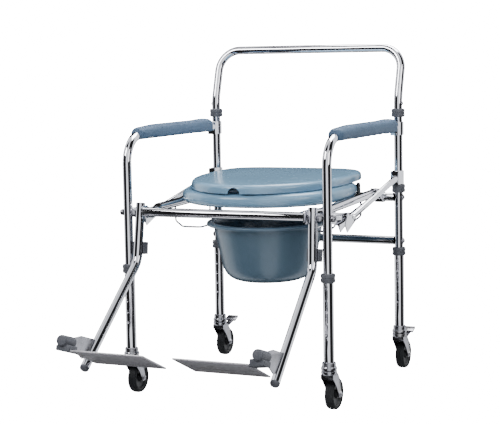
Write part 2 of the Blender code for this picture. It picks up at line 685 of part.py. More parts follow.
# the barrel's Z runs forwards and up along the flip axis, its Y points up
BARREL_FRAME = Matrix.Translation(FLIP_AXIS) @ Matrix.Rotation(math.radians(90) - FLIP_TILT, 4, "X")
STRAP = [(-0.4627, 0.1779), (-0.5050, 0.1409), (-0.5220, 0.1430), (-0.5605, 0.1748), (-0.5535, 0.1978),
         (-0.5200, 0.1960)]
STRAP_X = 0.2385


def footrest_bracket_mesh(side):
    """The strap behind the hanger tube with the footplate's hinge pin welded to it."""
    strap = flat_mesh("strap", [STRAP], 0.0030)
    bm = bmesh.new()
    half = BARREL_LENGTH / 2
    add_cylinder(bm, 0.0050, (0, 0, -half - 0.0075), (0, 0, half - 0.0080), 12)
    return welded("footrest_bracket", [
        (strap, MIRROR[side] @ Matrix.Translation((STRAP_X, 0, 0)) @ TO_YZ),
        (mesh_of(bm, "pin", 35), MIRROR[side] @ BARREL_FRAME),
    ])


def hanger_mesh(side):
    path = rounded_path(mirrored([HANGER_TOP, HANGER_BEND, HANGER_END], side), [HANGER_BEND_R], 4)
    end = Vector(HANGER_END)
    up = (Vector(HANGER_BEND) - end).normalized()
    plug_frame = Matrix.Translation(end) @ up.to_track_quat("Z", "Y").to_matrix().to_4x4()
    return welded("hanger", [(tube_mesh("hanger_tube", path, TUBE_R), Matrix.Identity(4)),
                             (hanger_plug_mesh(), MIRROR[side] @ plug_frame)])


for label, side in SIDES:
    hanger = node(f"hanger_tube_{label}", hanger_mesh(side), CHROME, CHAIR)
    hole = bmesh.new()
    add_cylinder(hole, PIVOT_R + 0.0005, (side * 0.20, -LEG_Y, PIVOT_Z), (side * 0.25, -LEG_Y, PIVOT_Z), 12)
    boolean(hanger, cutter(f"hanger_hole_{label}", hole, CHAIR))
    node(f"footrest_bracket_{label}", footrest_bracket_mesh(side), ZINC, CHAIR)
    tread = flat_mesh("tread", [comb_outline()], PLATE_WIDTH)
    node(f"footplate_{label}", join_meshes("footplate", [(tread, MIRROR[side] @ PLATE_FRAME @ TO_YZ)]),
         PLATE_GREY, CHAIR)
    hinge = [(knuckle_mesh(), MIRROR[side] @ BARREL_FRAME), (barrel_mesh(), MIRROR[side] @ BARREL_FRAME)]
    node(f"footplate_hinge_{label}", welded("footplate_hinge", hinge), GREY_PLASTIC, CHAIR)


# ---------------------------------------------------------------- seat frame
# everything below is drawn in the seat frame's own frame: its axis is the upper cross tube,
# Y runs back along the rails and Z is square to them
SEAT_FRAME = empty("seat_frame", SEAT_AXIS, CHAIR, SEAT_PITCH)
PIN_Y = -0.4999
PIN_Z = 0.0115
HOOK_PLATE = 0.0030
SLOT_HALF = 0.0037


def hook_plate_mesh():
    """The plate on each end of the front rail, slotted from below to drop over the pivot bolt."""
    outline = [(-0.5236, 0.0060), (-0.5236, 0.0250), (-0.5180, 0.0290), (-0.4930, 0.0290),
               (-0.4885, 0.0245), (-0.4885, -0.0020), (PIN_Y + SLOT_HALF, -0.0020)]
    outline += arc((PIN_Y, PIN_Z), SLOT_HALF, 0, 180, 6)
    outline += [(PIN_Y - SLOT_HALF, -0.0020), (-0.5140, -0.0020)]
    return flat_mesh("hook_plate", [outline], HOOK_PLATE)


FRONT_HALF = HOOK_PLATE_X - 0.0012
FRONT_ENDS = [(-FRONT_HALF, FRONT_RAIL_Y, RAIL_Z), (FRONT_HALF, FRONT_RAIL_Y, RAIL_Z)]
front_pieces = [(tube_mesh("front_tube", FRONT_ENDS, TUBE_R), Matrix.Identity(4))]
for label, side in SIDES:
    front_pieces.append((hook_plate_mesh(), Matrix.Translation((side * HOOK_PLATE_X, 0, 0)) @ TO_YZ))
front_rail = node("front_rail", welded("front_rail", front_pieces), CHROME, SEAT_FRAME)
drain = bmesh.new()
add_cylinder(drain, 0.0020, (0, FRONT_RAIL_Y, RAIL_Z - 0.0150), (0, FRONT_RAIL_Y, RAIL_Z), 8)
boolean(front_rail, cutter("front_rail_drain", drain, SEAT_FRAME))


def pivot_sleeve_mesh():
    """A band round the cross tube, drawn out to a flat end that the side rail meets."""
    outer = arc((0, 0), SLEEVE_OUT_R, 105, -135, 14)
    low, high = RAIL_Z - TUBE_R + GAP, RAIL_Z + TUBE_R - GAP
    outer += [(RAIL_REAR[1] - 0.0050, low), (RAIL_REAR[1] - 0.0050, high)]
    inner = arc((0, 0), SLEEVE_IN_R, 0, 360 - 360 / 16, 15)
    return flat_mesh("pivot_sleeve", [outer, inner], 0.0240)


WIRE_Z = BUCKET_FLANGE_Z - WIRE_R - GAP
WIRE_FRONT_Y = -0.338
WIRE_REAR_Y = -0.150
WIRE_TOP_Z = RAIL_Z - TUBE_R + 0.0008


def side_rail_mesh(side):
    """A side rail with its pivot sleeve behind and the bucket's wire runner under it."""
    bend = (RAIL_WELD[0], RAIL_FRONT[1] - 0.038)
    corners = [(side * x, y, RAIL_Z) for x, y in (RAIL_REAR, RAIL_FRONT, bend, RAIL_WELD)]
    wire = [(0.2150, WIRE_FRONT_Y, WIRE_TOP_Z), (0.2150, WIRE_FRONT_Y, -0.0300),
            (0.1960, WIRE_FRONT_Y, WIRE_Z), (WIRE_X, WIRE_FRONT_Y, WIRE_Z),
            (WIRE_X, WIRE_REAR_Y, WIRE_Z), (0.1930, WIRE_REAR_Y, WIRE_Z),
            (0.2112, WIRE_REAR_Y, -0.0300), (0.2112, WIRE_REAR_Y, WIRE_TOP_Z)]
    wire_path = rounded_path(mirrored(wire, side), [0.009] * 6, 2)
    return welded("side_rail", [
        (tube_mesh("rail", rounded_path(corners, [0.030, 0.030], 3), TUBE_R), Matrix.Identity(4)),
        (pivot_sleeve_mesh(), Matrix.Translation((side * RAIL_REAR[0], 0, 0)) @ TO_YZ),
        (swept_mesh("wire", [wire_path], WIRE_R, 1, True), Matrix.Identity(4)),
    ])


for label, side in SIDES:
    node(f"side_rail_{label}", side_rail_mesh(side), CHROME, SEAT_FRAME)


def seat_hinge_mesh():
    """A black ear and foot inside each side rail, and the long pin between the ears."""
    ear = [(SEAT_HINGE_Y - 0.0085, 0.0120), (SEAT_HINGE_Y + 0.0085, 0.0120)]
    ear += arc((SEAT_HINGE_Y, SEAT_HINGE_Z), 0.0085, 0, 180, 6)
    bm = bmesh.new()
    pin_end = (0.1725, SEAT_HINGE_Y, SEAT_HINGE_Z)
    add_cylinder(bm, SEAT_PIN_R, (-0.1725, SEAT_HINGE_Y, SEAT_HINGE_Z), pin_end, 12)
    pieces = [(mesh_of(bm, "pin", 35), Matrix.Identity(4))]
    for label, side in SIDES:
        pieces.append((flat_mesh("ear", [ear], 0.0060), Matrix.Translation((side * 0.1720, 0, 0)) @ TO_YZ))
        foot = bmesh.new()
        inner_x, outer_x = sorted((side * 0.1680, side * 0.1978))
        add_box(foot, (inner_x, SEAT_HINGE_Y - 0.0120, 0.0080), (outer_x, SEAT_HINGE_Y + 0.0120, 0.0147))
        pieces.append((mesh_of(foot, "foot"), Matrix.Identity(4)))
    return welded("seat_hinge", pieces)


node("seat_hinge", seat_hinge_mesh(), BLACK_STEEL, SEAT_FRAME)


# ---------------------------------------------------------------- seat ring, lid and bucket
OUTLINE_POINTS = 32


def seat_outline(shape, inset=0.0):
    """A rounded outline, fuller at the back; inset draws it smaller all round."""
    points = []
    for index in range(OUTLINE_POINTS):
        angle = 2 * math.pi * index / OUTLINE_POINTS
        across = math.cos(angle)
        along = math.sin(angle)
        reach, power = ((shape["rear"], shape["power_rear"]) if along > 0
                        else (shape["front"], shape["power_front"]))
        x = math.copysign(abs(across) ** (2 / power), across) * (shape["half"] - inset)
        y = math.copysign(abs(along) ** (2 / power), along) * (reach - inset)
        points.append((x, shape["middle"] + y))
    return points


def loft_mesh(name, loops, fill_last):
    """Quads between outlines of equal point count; each loop is (outline, height)."""
    bm = bmesh.new()
    rings = [[bm.verts.new((x, y, height)) for x, y in outline] for outline, height in loops]
    for lower, upper in zip(rings, rings[1:]):
        for index in range(OUTLINE_POINTS):
            after = (index + 1) % OUTLINE_POINTS
            bm.faces.new((lower[index], lower[after], upper[after], upper[index]))
    if fill_last:
        bm.faces.new(rings[-1])
    mesh = bpy.data.meshes.new(name)
    bm.to_mesh(mesh)
    bm.free()
    mesh.shade_smooth()
    mesh.set_sharp_from_angle(angle=math.radians(40))
    return mesh


def shell_mesh(name, loops, fill_last=False):
    made = node(name + "_maker", loft_mesh(name, loops, fill_last), PALE_BLUE, None)
    solidify = made.modifiers.new("wall", "SOLIDIFY")
    solidify.thickness = SHELL_WALL
    solidify.offset = -1.0
    return evaluated_mesh(made)


def lug_mesh(x, width, tab):
    """A hinge lug: an eye round the pin with a tab; tab is the (y, z) points it reaches to."""
    outline = arc((SEAT_HINGE_Y, SEAT_HINGE_Z), 0.0065, *tab["angles"], 8) + tab["points"]
    eye = arc((SEAT_HINGE_Y, SEAT_HINGE_Z), SEAT_PIN_R + 0.0005, 0, 330, 11)
    return flat_mesh("lug", [outline, eye], width), Matrix.Translation((x, 0, 0)) @ TO_YZ


def seat_ring():
    top = RING_BOTTOM_Z + RING_DEPTH
    loops = []
    for degrees in (-90, -45, 0):
        inset = RING_EDGE_R * (1 - math.cos(math.radians(degrees)))
        height = RING_BOTTOM_Z + RING_EDGE_R * (1 + math.sin(math.radians(degrees)))
        loops.append((seat_outline(RING, inset), height))
    for degrees in (0, 45, 90):
        inset = RING_EDGE_R * (1 - math.cos(math.radians(degrees)))
        height = top - RING_EDGE_R * (1 - math.sin(math.radians(degrees)))
        loops.append((seat_outline(RING, inset), height))
    loops.append((seat_outline(OPENING, -0.0120), top))
    loops.append((seat_outline(OPENING, -0.0030), top - 0.0040))
    loops.append((seat_outline(OPENING, 0.0), top - 0.0130))
    loops.append((seat_outline(OPENING, 0.0), RING_BOTTOM_Z + 0.0020))
    ring = shell_mesh("seat_ring", loops)
    reach = RING["middle"] + RING["rear"] - 0.0022
    low, high = SEAT_HINGE_Z - 0.0050, SEAT_HINGE_Z + 0.0060
    tab = {"angles": (110, -130), "points": [(reach, low), (reach, high)]}
    lugs = [lug_mesh(side * 0.0600, 0.0180, tab) for label, side in SIDES]
    node("seat_ring", welded("seat_ring", [(ring, Matrix.Identity(4)), *lugs]), PALE_BLUE, SEAT_FRAME)


def seat_lid():
    top = LID_BOTTOM_Z + LID_DEPTH
    loops = [(seat_outline(LID, 0.0015), LID_BOTTOM_Z), (seat_outline(LID), LID_BOTTOM_Z + 0.004)]
    for degrees in (0, 45, 90):
        inset = LID_EDGE_R * (1 - math.cos(math.radians(degrees)))
        height = top - LID_EDGE_R * (1 - math.sin(math.radians(degrees)))
        loops.append((seat_outline(LID, inset), height))
    loops.append((seat_outline(LID, 0.0600), top + 0.0020))
    loops.append((seat_outline(LID, 0.1200), top + 0.0026))
    under = top - SHELL_WALL + 0.0014
    tab = {"angles": (0, -180), "points": [(SEAT_HINGE_Y - 0.0065, under), (SEAT_HINGE_Y + 0.0065, under)]}
    lugs = [lug_mesh(side * 0.1000, 0.0180, tab) for label, side in SIDES]
    shell = shell_mesh("lid", loops, fill_last=True)
    lid = node("lid", welded("lid", [(shell, Matrix.Identity(4)), *lugs]), PALE_BLUE, SEAT_FRAME)
    grip = bmesh.new()
    front = LID["middle"] - LID["front"]
    add_cylinder(grip, 0.0160, (0, front - 0.02, LID_BOTTOM_Z), (0, front + 0.02, LID_BOTTOM_Z), 16)
    boolean(lid, cutter("lid_grip", grip, SEAT_FRAME))


def bucket_mesh():
    """The bucket, turned: a rolled flange, a tapering wall and a rounded bottom."""
    flange = BUCKET_FLANGE_Z
    outer = [(0.1480, flange + 0.0085), (0.1530, flange + 0.0070), (0.1545, flange + 0.0035),
             (0.1530, flange), (0.1370, flange), (0.1355, flange - 0.0112), (0.1200, flange - 0.0920),
             (0.1130, flange - 0.1153), (0.1015, flange - 0.1302), (0.0843, flange - 0.1386),
             (0.0589, flange - 0.1414), (0.0, flange - 0.1423)]
    inner = [(0.0, flange - 0.1423 + BUCKET_WALL), (0.0580, flange - 0.1414 + BUCKET_WALL),
             (0.0825, flange - 0.1361), (0.0992, flange - 0.1282), (0.1102, flange - 0.1143),
             (0.1173, flange - 0.0915), (0.1326, flange - 0.0102), (0.1340, flange + 0.0060)]
    return turned("bucket", inner + outer, 24)


seat_ring()
seat_lid()
node("bucket", bucket_mesh(), BUCKET_BLUE, SEAT_FRAME, (0.0, BUCKET_Y, 0.0))
bpy.context.view_layer.update()
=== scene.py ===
# %% [markdown]
# # A wheeled commode chair
#
# The real chair is chromed steel tube, a blue plastic seat ring with a lid, a
# slate blue bucket, foam arm pads, swing-up footrests and four casters. The
# measured frame is loaded first; every visible piece is then made around it.

# %% Load the frame
import json
import math

import bmesh
import bpy
from mathutils import Matrix, Vector


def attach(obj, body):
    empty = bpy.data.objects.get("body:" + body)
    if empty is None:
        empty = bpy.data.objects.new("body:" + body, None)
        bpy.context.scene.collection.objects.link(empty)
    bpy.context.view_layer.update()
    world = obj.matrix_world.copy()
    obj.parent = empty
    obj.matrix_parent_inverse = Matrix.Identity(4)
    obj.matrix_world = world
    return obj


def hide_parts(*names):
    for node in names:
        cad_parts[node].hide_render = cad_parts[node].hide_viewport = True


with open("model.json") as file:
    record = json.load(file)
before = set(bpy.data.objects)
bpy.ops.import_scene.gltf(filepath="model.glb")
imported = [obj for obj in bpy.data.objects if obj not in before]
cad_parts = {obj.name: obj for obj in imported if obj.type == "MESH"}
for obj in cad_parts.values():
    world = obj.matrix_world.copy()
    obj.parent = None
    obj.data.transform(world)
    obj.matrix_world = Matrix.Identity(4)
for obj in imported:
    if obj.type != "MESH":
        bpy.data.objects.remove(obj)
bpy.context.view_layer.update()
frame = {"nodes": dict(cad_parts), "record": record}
NODE_BODY = {node: body for body, nodes in frame["record"]["behaviour"]["bodies"].items() for node in nodes}
NODE_SLOT = {entry["node"]: entry["material_slot"] for entry in frame["record"]["subparts"]}

# %% [markdown]
# ## Sizes
#
# Everything hangs on a few centre lines: four legs at the corners, two bars
# across the back, and a seat frame that is pitched a little. They are written
# once here, in metres, and each piece below is drawn from them.

# %% Centre lines
LEG_X = 0.260
SHIFT_Y = 0.1362
FRONT_Y = SHIFT_Y - 0.250
REAR_Y = SHIFT_Y + 0.250
FRAME_TUBE = 0.0111
LEG_TUBE = 0.0128
TUBE_WALL = 0.0012
SEAT_PLACE = Matrix.Translation((0, REAR_Y, 0.454)) @ Matrix.Rotation(math.radians(1.66), 4, "X")
SIDES = (("left", 1), ("right", -1))
LEGS = (("front_left", 1, FRONT_Y), ("front_right", -1, FRONT_Y),
        ("rear_left", 1, REAR_Y), ("rear_right", -1, REAR_Y))
print("wheelbase", round(REAR_Y - FRONT_Y, 3))

# %% [markdown]
# ## Camera and studio
#
# A long lens from a little above seat height keeps the legs almost parallel.
# Chrome only looks like chrome when it has light and dark to mirror, so the
# studio's walls alternate between bright panels and dark gaps. The camera
# itself sees a plain pale wall.

# %% Camera
camera_data = bpy.data.cameras.new("camera")
camera_data.lens = 107.97
camera_data.sensor_width = 36.0
camera = bpy.data.objects.new("camera", camera_data)
bpy.context.scene.collection.objects.link(camera)
AZIMUTH, ELEVATION, ROLL, DISTANCE = 0.430845, 0.104009, -0.016980, 3.381944
AIM = Vector((0.118565, SHIFT_Y - 0.364833, 0.473942))
turn = (Matrix.Rotation(AZIMUTH, 4, "Z") @ Matrix.Rotation(math.pi / 2 - ELEVATION, 4, "X")
        @ Matrix.Rotation(ROLL, 4, "Z"))
camera.matrix_world = Matrix.Translation(AIM) @ turn @ Matrix.Translation((0, 0, DISTANCE))
bpy.context.scene.camera = camera
print("camera at", [round(v, 3) for v in camera.matrix_world.translation])


# %% [markdown]
# ## Writing shader maths as expressions
#
# A wrapped socket lets a finish be written the way it is thought of, such as
# `0.1 + 0.05 * noise`. Each operator adds one Math node.

# %% Socket wrapper
class Wire:
    """A node's output; arithmetic on it adds Math nodes."""

    def __init__(self, tree, socket):
        self.tree = tree
        self.socket = socket

    def _math(self, operation, first, second):
        node = self.tree.nodes.new("ShaderNodeMath")
        node.operation = operation
        for index, value in enumerate((first, second)):
            if isinstance(value, Wire):
                self.tree.links.new(value.socket, node.inputs[index])
            else:
                node.inputs[index].default_value = value
        return Wire(self.tree, node.outputs[0])

    def __add__(self, other):
        return self._math("ADD", self, other)

    def __radd__(self, other):
        return self._math("ADD", other, self)

    def __sub__(self, other):
        return self._math("SUBTRACT", self, other)

    def __rsub__(self, other):
        return self._math("SUBTRACT", other, self)

    def __mul__(self, other):
        return self._math("MULTIPLY", self, other)

    def __rmul__(self, other):
        return self._math("MULTIPLY", other, self)

    def __pow__(self, other):
        return self._math("POWER", self, other)


class Finish:
    """A material under construction."""

    def __init__(self, name, colour, roughness, metallic=0.0):
        self.material = bpy.data.materials.new(name)
        self.material.use_nodes = True
        self.material.diffuse_color = (*colour, 1.0)
        self.tree = self.material.node_tree
        self.shader = self.tree.nodes["Principled BSDF"]
        self.shader.inputs["Base Color"].default_value = (*colour, 1.0)
        self.shader.inputs["Roughness"].default_value = roughness
        self.shader.inputs["Metallic"].default_value = metallic
        self.place = self.node("ShaderNodeTexCoord", out="Object")

    def node(self, kind, settings=None, inputs=None, out=0):
        made = self.tree.nodes.new(kind)
        for key, value in (settings or {}).items():
            setattr(made, key, value)
        for key, value in (inputs or {}).items():
            if isinstance(value, Wire):
                self.tree.links.new(value.socket, made.inputs[key])
            else:
                made.inputs[key].default_value = value
        return Wire(self.tree, made.outputs[out])

    def noise(self, scale, detail=3.0, rough=0.5, stretch=(1, 1, 1)):
        place = self.node("ShaderNodeMapping", None, {"Vector": self.place, "Scale": stretch})
        return self.node("ShaderNodeTexNoise", None,
                         {"Vector": place, "Scale": scale, "Detail": detail, "Roughness": rough}, "Fac")

    def ramp(self, value, low, high):
        ramp = self.node("ShaderNodeMapRange", {"interpolation_type": "SMOOTHSTEP"},
                         {"Value": value, "From Min": low, "From Max": high})
        return ramp

    def blend(self, value, first, second):
        made = self.tree.nodes.new("ShaderNodeMix")
        made.data_type = "RGBA"
        self.tree.links.new(value.socket, made.inputs[0])
        for slot, colour in ((6, first), (7, second)):
            if isinstance(colour, Wire):
                self.tree.links.new(colour.socket, made.inputs[slot])
            else:
                made.inputs[slot].default_value = (*colour, 1.0)
        return Wire(self.tree, made.outputs[2])

    def set(self, key, wire):
        self.tree.links.new(wire.socket, self.shader.inputs[key])

    def fixed(self, **values):
        for key, value in values.items():
            self.shader.inputs[key.replace("_", " ")].default_value = value

    def bump(self, height, strength, distance):
        made = self.node("ShaderNodeBump", None,
                         {"Height": height, "Strength": strength, "Distance": distance}, "Normal")
        self.set("Normal", made)


# %% [markdown]
# ## The finishes
#
# Chrome plate is a near mirror with faint polishing lines and hazy smudges
# where hands go. Zinc on the stamped parts is duller and mottled. The blue
# mouldings are glossy with a very fine orange peel; foam, rubber and the grey
# collars are matt and pebbled. The foam's skin creases get painted shade, a darker colour in each crease.

# %% Metals
def chrome_finish():
    made = Finish("chrome_plate", (0.80, 0.81, 0.83), 0.08, 1.0)
    haze = made.noise(9.0, 4.0, 0.6)
    lines = made.noise(60.0, 2.0, 0.5, (1.0, 1.0, 14.0))
    pits = made.ramp(made.noise(420.0, 2.0), 0.72, 0.80)
    made.set("Base Color", made.blend(pits, (0.70, 0.70, 0.73), (0.36, 0.35, 0.34)))
    made.set("Roughness", 0.035 + 0.07 * (haze ** 2.0) + 0.035 * lines + 0.25 * pits)
    made.bump(lines + 0.4 * haze, 0.05, 0.0004)
    return made.material


def zinc_finish():
    made = Finish("zinc_plate", (0.60, 0.61, 0.63), 0.30, 1.0)
    mottle = made.noise(55.0, 5.0, 0.6)
    dirt = made.ramp(made.noise(18.0, 4.0, 0.65), 0.52, 0.75)
    bright = made.blend(mottle, (0.24, 0.24, 0.26), (0.46, 0.46, 0.49))
    made.set("Base Color", made.blend(dirt, bright, (0.36, 0.35, 0.34)))
    made.set("Roughness", 0.20 + 0.16 * mottle + 0.16 * dirt)
    made.bump(made.noise(260.0, 3.0), 0.10, 0.0004)
    return made.material


def tread_metal_finish():
    made = Finish("ribbed_aluminium", (0.66, 0.67, 0.69), 0.32, 0.30)
    brushed = made.noise(35.0, 4.0, 0.6, (1.0, 26.0, 26.0))
    scuff = made.ramp(made.noise(14.0, 5.0, 0.7), 0.50, 0.68)
    grey = made.blend(brushed, (0.50, 0.49, 0.52), (0.70, 0.69, 0.72))
    made.set("Base Color", made.blend(scuff, grey, (0.36, 0.35, 0.35)))
    made.set("Roughness", 0.26 + 0.12 * brushed + 0.18 * scuff)
    made.bump(brushed + 0.5 * scuff, 0.16, 0.0005)
    return made.material


def black_paint_finish():
    made = Finish("black_paint", (0.020, 0.020, 0.024), 0.42)
    grain = made.noise(320.0, 3.0)
    wear = made.ramp(made.noise(28.0, 5.0, 0.7), 0.64, 0.76)
    made.set("Base Color", made.blend(wear, (0.018, 0.018, 0.022), (0.16, 0.16, 0.165)))
    made.set("Roughness", 0.34 + 0.18 * grain + 0.10 * wear)
    made.bump(grain, 0.20, 0.0004)
    return made.material


# %% Plastics, foam and rubber
def moulded_finish(name, deep, light, gloss, coat):
    """A glossy moulding: faint flow marks in the colour, orange peel in the gloss."""
    made = Finish(name, light, gloss)
    flow = made.noise(5.0, 3.0, 0.5)
    peel = made.noise(160.0, 2.0)
    dust = made.ramp(made.noise(40.0, 6.0, 0.75), 0.55, 0.80)
    tint = made.blend(flow, deep, light)
    made.set("Base Color", made.blend(0.03 * dust, tint, (0.75, 0.80, 0.84)))
    made.set("Roughness", gloss + 0.05 * peel + 0.10 * dust)
    made.fixed(Coat_Weight=coat, Coat_Roughness=0.06)
    made.bump(peel + 0.5 * flow, 0.045, 0.0006)
    return made.material


def matt_finish(name, dark, light, grain_scale, depth, rough):
    """Matt grey moulding or rubber: pebbled grain, chalky high spots."""
    made = Finish(name, light, rough)
    grain = made.noise(grain_scale, 4.0, 0.6)
    chalk = made.ramp(made.noise(22.0, 5.0, 0.7), 0.50, 0.75)
    chalked = tuple(0.8 * channel + 0.04 for channel in light)
    made.set("Base Color", made.blend(chalk, made.blend(grain, dark, light), chalked))
    made.set("Roughness", rough + 0.14 * grain + 0.08 * chalk)
    made.bump(grain, depth, 0.0006)
    return made.material


def foam_finish():
    made = Finish("skinned_foam", (0.17, 0.29, 0.40), 0.58)
    skin = made.node("ShaderNodeTexVoronoi", {"feature": "DISTANCE_TO_EDGE"},
                     {"Vector": made.place, "Scale": 620.0}, "Distance")
    # Painted shade: the skin's creases, which the bump also sinks, are coloured a darker blue, as if shade
    # falls in them.
    crease_depth_and_painted_shade = made.ramp(skin, 0.0, 0.12)
    pores = made.noise(300.0, 3.0)
    shade = made.noise(12.0, 4.0, 0.6)
    base = made.blend(shade, (0.095, 0.150, 0.235), (0.155, 0.225, 0.325))
    made.set("Base Color", made.blend(crease_depth_and_painted_shade, (0.060, 0.105, 0.165), base))
    made.set("Roughness", 0.46 + 0.16 * pores + 0.10 * (1 - crease_depth_and_painted_shade))
    made.bump(crease_depth_and_painted_shade + 0.4 * pores, 0.30, 0.0007)
    return made.material


FINISHES = {
    "chrome_tube": chrome_finish(),
    "zinc": zinc_finish(),
    "footplate_metal": tread_metal_finish(),
    "black_steel": black_paint_finish(),
    "seat_plastic": moulded_finish("pale_blue_moulding", (0.215, 0.355, 0.490), (0.265, 0.420, 0.560),
                                   0.22, 0.40),
    "bucket_plastic": moulded_finish("slate_blue_moulding", (0.115, 0.175, 0.235), (0.145, 0.210, 0.270),
                                     0.30, 0.25),
    "collar_grey": matt_finish("collar_grey", (0.085, 0.090, 0.105), (0.155, 0.160, 0.180),
                               240.0, 0.25, 0.46),
    "tyre_rubber": matt_finish("tyre_rubber", (0.006, 0.007, 0.009), (0.016, 0.018, 0.021),
                               300.0, 0.35, 0.58),
    "hub_plastic": matt_finish("hub_grey", (0.016, 0.017, 0.020), (0.036, 0.038, 0.042),
                               200.0, 0.15, 0.36),
    "pad_vinyl": foam_finish(),
}
print("finishes:", sorted(FINISHES))


# %% [markdown]
# ## Small modelling helpers
#
# Three ways of making a piece cover nearly all of the chair: a centre line
# drawn by extruding a point and then given a round section, a half section
# spun about an axis, and a closed loop extruded again and again.

# %% Operators
def deselect():
    if bpy.context.object and bpy.context.object.mode != "OBJECT":
        bpy.ops.object.mode_set(mode="OBJECT")
    bpy.ops.object.select_all(action="DESELECT")


def select_only(*objects):
    deselect()
    for one in objects:
        one.select_set(True)
    bpy.context.view_layer.objects.active = objects[0]


def draw_line(name, points, closed=False):
    """A chain of edges, drawn by merging a small plane to a point and extruding it."""
    deselect()
    bpy.ops.mesh.primitive_plane_add(size=0.01, location=(0, 0, 0))
    made = bpy.context.object
    made.name = name
    made.data.name = name
    bpy.ops.object.mode_set(mode="EDIT")
    bpy.ops.mesh.select_all(action="SELECT")
    bpy.ops.mesh.merge(type="CENTER")
    bpy.ops.transform.translate(value=points[0])
    for before, after in zip(points, points[1:]):
        step = Vector(after) - Vector(before)
        bpy.ops.mesh.extrude_region_move(TRANSFORM_OT_translate={"value": step})
    bpy.ops.mesh.select_all(action="SELECT")
    if closed:
        bpy.ops.object.mode_set(mode="OBJECT")
        ends = [min(made.data.vertices, key=lambda v: (v.co - Vector(place)).length).index
                for place in (points[0], points[-1])]
        for vert in made.data.vertices:
            vert.select = vert.index in ends
        for edge in made.data.edges:
            edge.select = False
        bpy.ops.object.mode_set(mode="EDIT")
        bpy.ops.mesh.select_mode(type="VERT")
        bpy.ops.mesh.edge_face_add()
        bpy.ops.mesh.select_all(action="SELECT")
    return made


def apply_modifier(made, name, kind, **settings):
    modifier = made.modifiers.new(name, kind)
    for key, value in settings.items():
        setattr(modifier, key, value)
    select_only(made)
    bpy.ops.object.modifier_apply(modifier=modifier.name)


def smooth(made, degrees=35):
    select_only(made)
    bpy.ops.object.shade_smooth_by_angle(angle=math.radians(degrees))


def finish_piece(made, slot, body, *nodes, degrees=35):
    """Shading, material, body and the nodes that the piece stands for."""
    smooth(made, degrees)
    made.data.materials.clear()
    made.data.materials.append(FINISHES[slot])
    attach(made, body)
    if nodes:
        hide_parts(*nodes)
    return made


def rounded(corners, radii, steps=10):
    """Corner points with each inner corner turned to an arc."""
    points = [Vector(corners[0])]
    for before, corner, after, radius in zip(corners, corners[1:], corners[2:], radii):
        corner = Vector(corner)
        arrive = (corner - Vector(before)).normalized()
        leave = (Vector(after) - corner).normalized()
        angle = arrive.angle(leave)
        start = corner - arrive * radius * math.tan(angle / 2)
        inward = (leave - arrive * arrive.dot(leave)).normalized()
        centre = start + inward * radius
        for step in range(steps + 1):
            part = angle * step / steps
            points.append(centre - inward * radius * math.cos(part) + arrive * radius * math.sin(part))
    points.append(Vector(corners[-1]))
    return points


def tube(name, points, radius, wall=TUBE_WALL, resolution=6):
    """A round section along the points: open with a wall, or solid with caps if wall is 0."""
    made = draw_line(name, points)
    bpy.ops.object.mode_set(mode="OBJECT")
    bpy.ops.object.convert(target="CURVE")
    made = bpy.context.object
    made.data.bevel_depth = radius
    made.data.bevel_resolution = resolution
    made.data.use_fill_caps = wall == 0
    bpy.ops.object.convert(target="MESH")
    made = bpy.context.object
    made.name = name
    bpy.ops.object.mode_set(mode="EDIT")
    bpy.ops.mesh.select_all(action="SELECT")
    bpy.ops.mesh.remove_doubles(threshold=0.00001)
    bpy.ops.mesh.normals_make_consistent(inside=False)
    bpy.ops.object.mode_set(mode="OBJECT")
    if wall:
        apply_modifier(made, "wall", "SOLIDIFY", thickness=wall, offset=-1.0)
    return made


def spun(name, profile, steps, place, closed=False):
    """A half section (radius, height) spun about Z, then placed by a matrix."""
    made = draw_line(name, [(radius, 0.0, height) for radius, height in profile], closed)
    bpy.ops.mesh.spin(steps=steps, angle=2 * math.pi, center=(0, 0, 0), axis=(0, 0, 1))
    bpy.ops.mesh.select_all(action="SELECT")
    bpy.ops.mesh.remove_doubles(threshold=0.00002)
    bpy.ops.mesh.normals_make_consistent(inside=False)
    bpy.ops.object.mode_set(mode="OBJECT")
    made.data.transform(place)
    return made


def stacked(name, loops, cap_first=False, cap_last=False):
    """A circle primitive shaped to the first loop, then extruded loop by loop."""
    deselect()
    count = len(loops[0])
    bpy.ops.mesh.primitive_circle_add(vertices=count, radius=1.0, location=(0, 0, 0))
    made = bpy.context.object
    made.name = name
    made.data.name = name
    for vert, place in zip(made.data.vertices, loops[0]):
        vert.co = place
    bpy.ops.object.mode_set(mode="EDIT")
    bpy.ops.mesh.select_all(action="SELECT")
    if cap_first:
        bpy.ops.mesh.edge_face_add()
        bpy.ops.mesh.select_all(action="SELECT")
    for lower, upper in zip(loops, loops[1:]):
        bpy.ops.mesh.extrude_edges_move()
        mesh = bmesh.from_edit_mesh(made.data)
        spots = {tuple(round(c, 6) for c in place): target for place, target in zip(lower, upper)}
        for vert in mesh.verts:
            if vert.select:
                vert.co = spots[tuple(round(c, 6) for c in vert.co)]
        bmesh.update_edit_mesh(made.data)
    if cap_last:
        bpy.ops.mesh.edge_face_add()
    bpy.ops.mesh.select_all(action="SELECT")
    bpy.ops.mesh.normals_make_consistent(inside=False)
    bpy.ops.object.mode_set(mode="OBJECT")
    return made


def cut(made, *tools):
    for tool in tools:
        apply_modifier(made, "cut", "BOOLEAN", operation="DIFFERENCE", solver="EXACT", object=tool)
        bpy.data.objects.remove(tool, do_unlink=True)


def drill(radius, start, end, sides=24):
    """A cylinder between two points, to cut with."""
    start, end = Vector(start), Vector(end)
    deselect()
    turned = (end - start).to_track_quat("Z", "Y").to_euler()
    bpy.ops.mesh.primitive_cylinder_add(vertices=sides, radius=radius, depth=(end - start).length,
                                        location=(start + end) / 2, rotation=turned)
    bpy.ops.object.transform_apply(location=True, rotation=True, scale=True)
    return bpy.context.object


def join(name, *pieces):
    select_only(*pieces)
    bpy.ops.object.join()
    pieces[0].name = name
    return pieces[0]


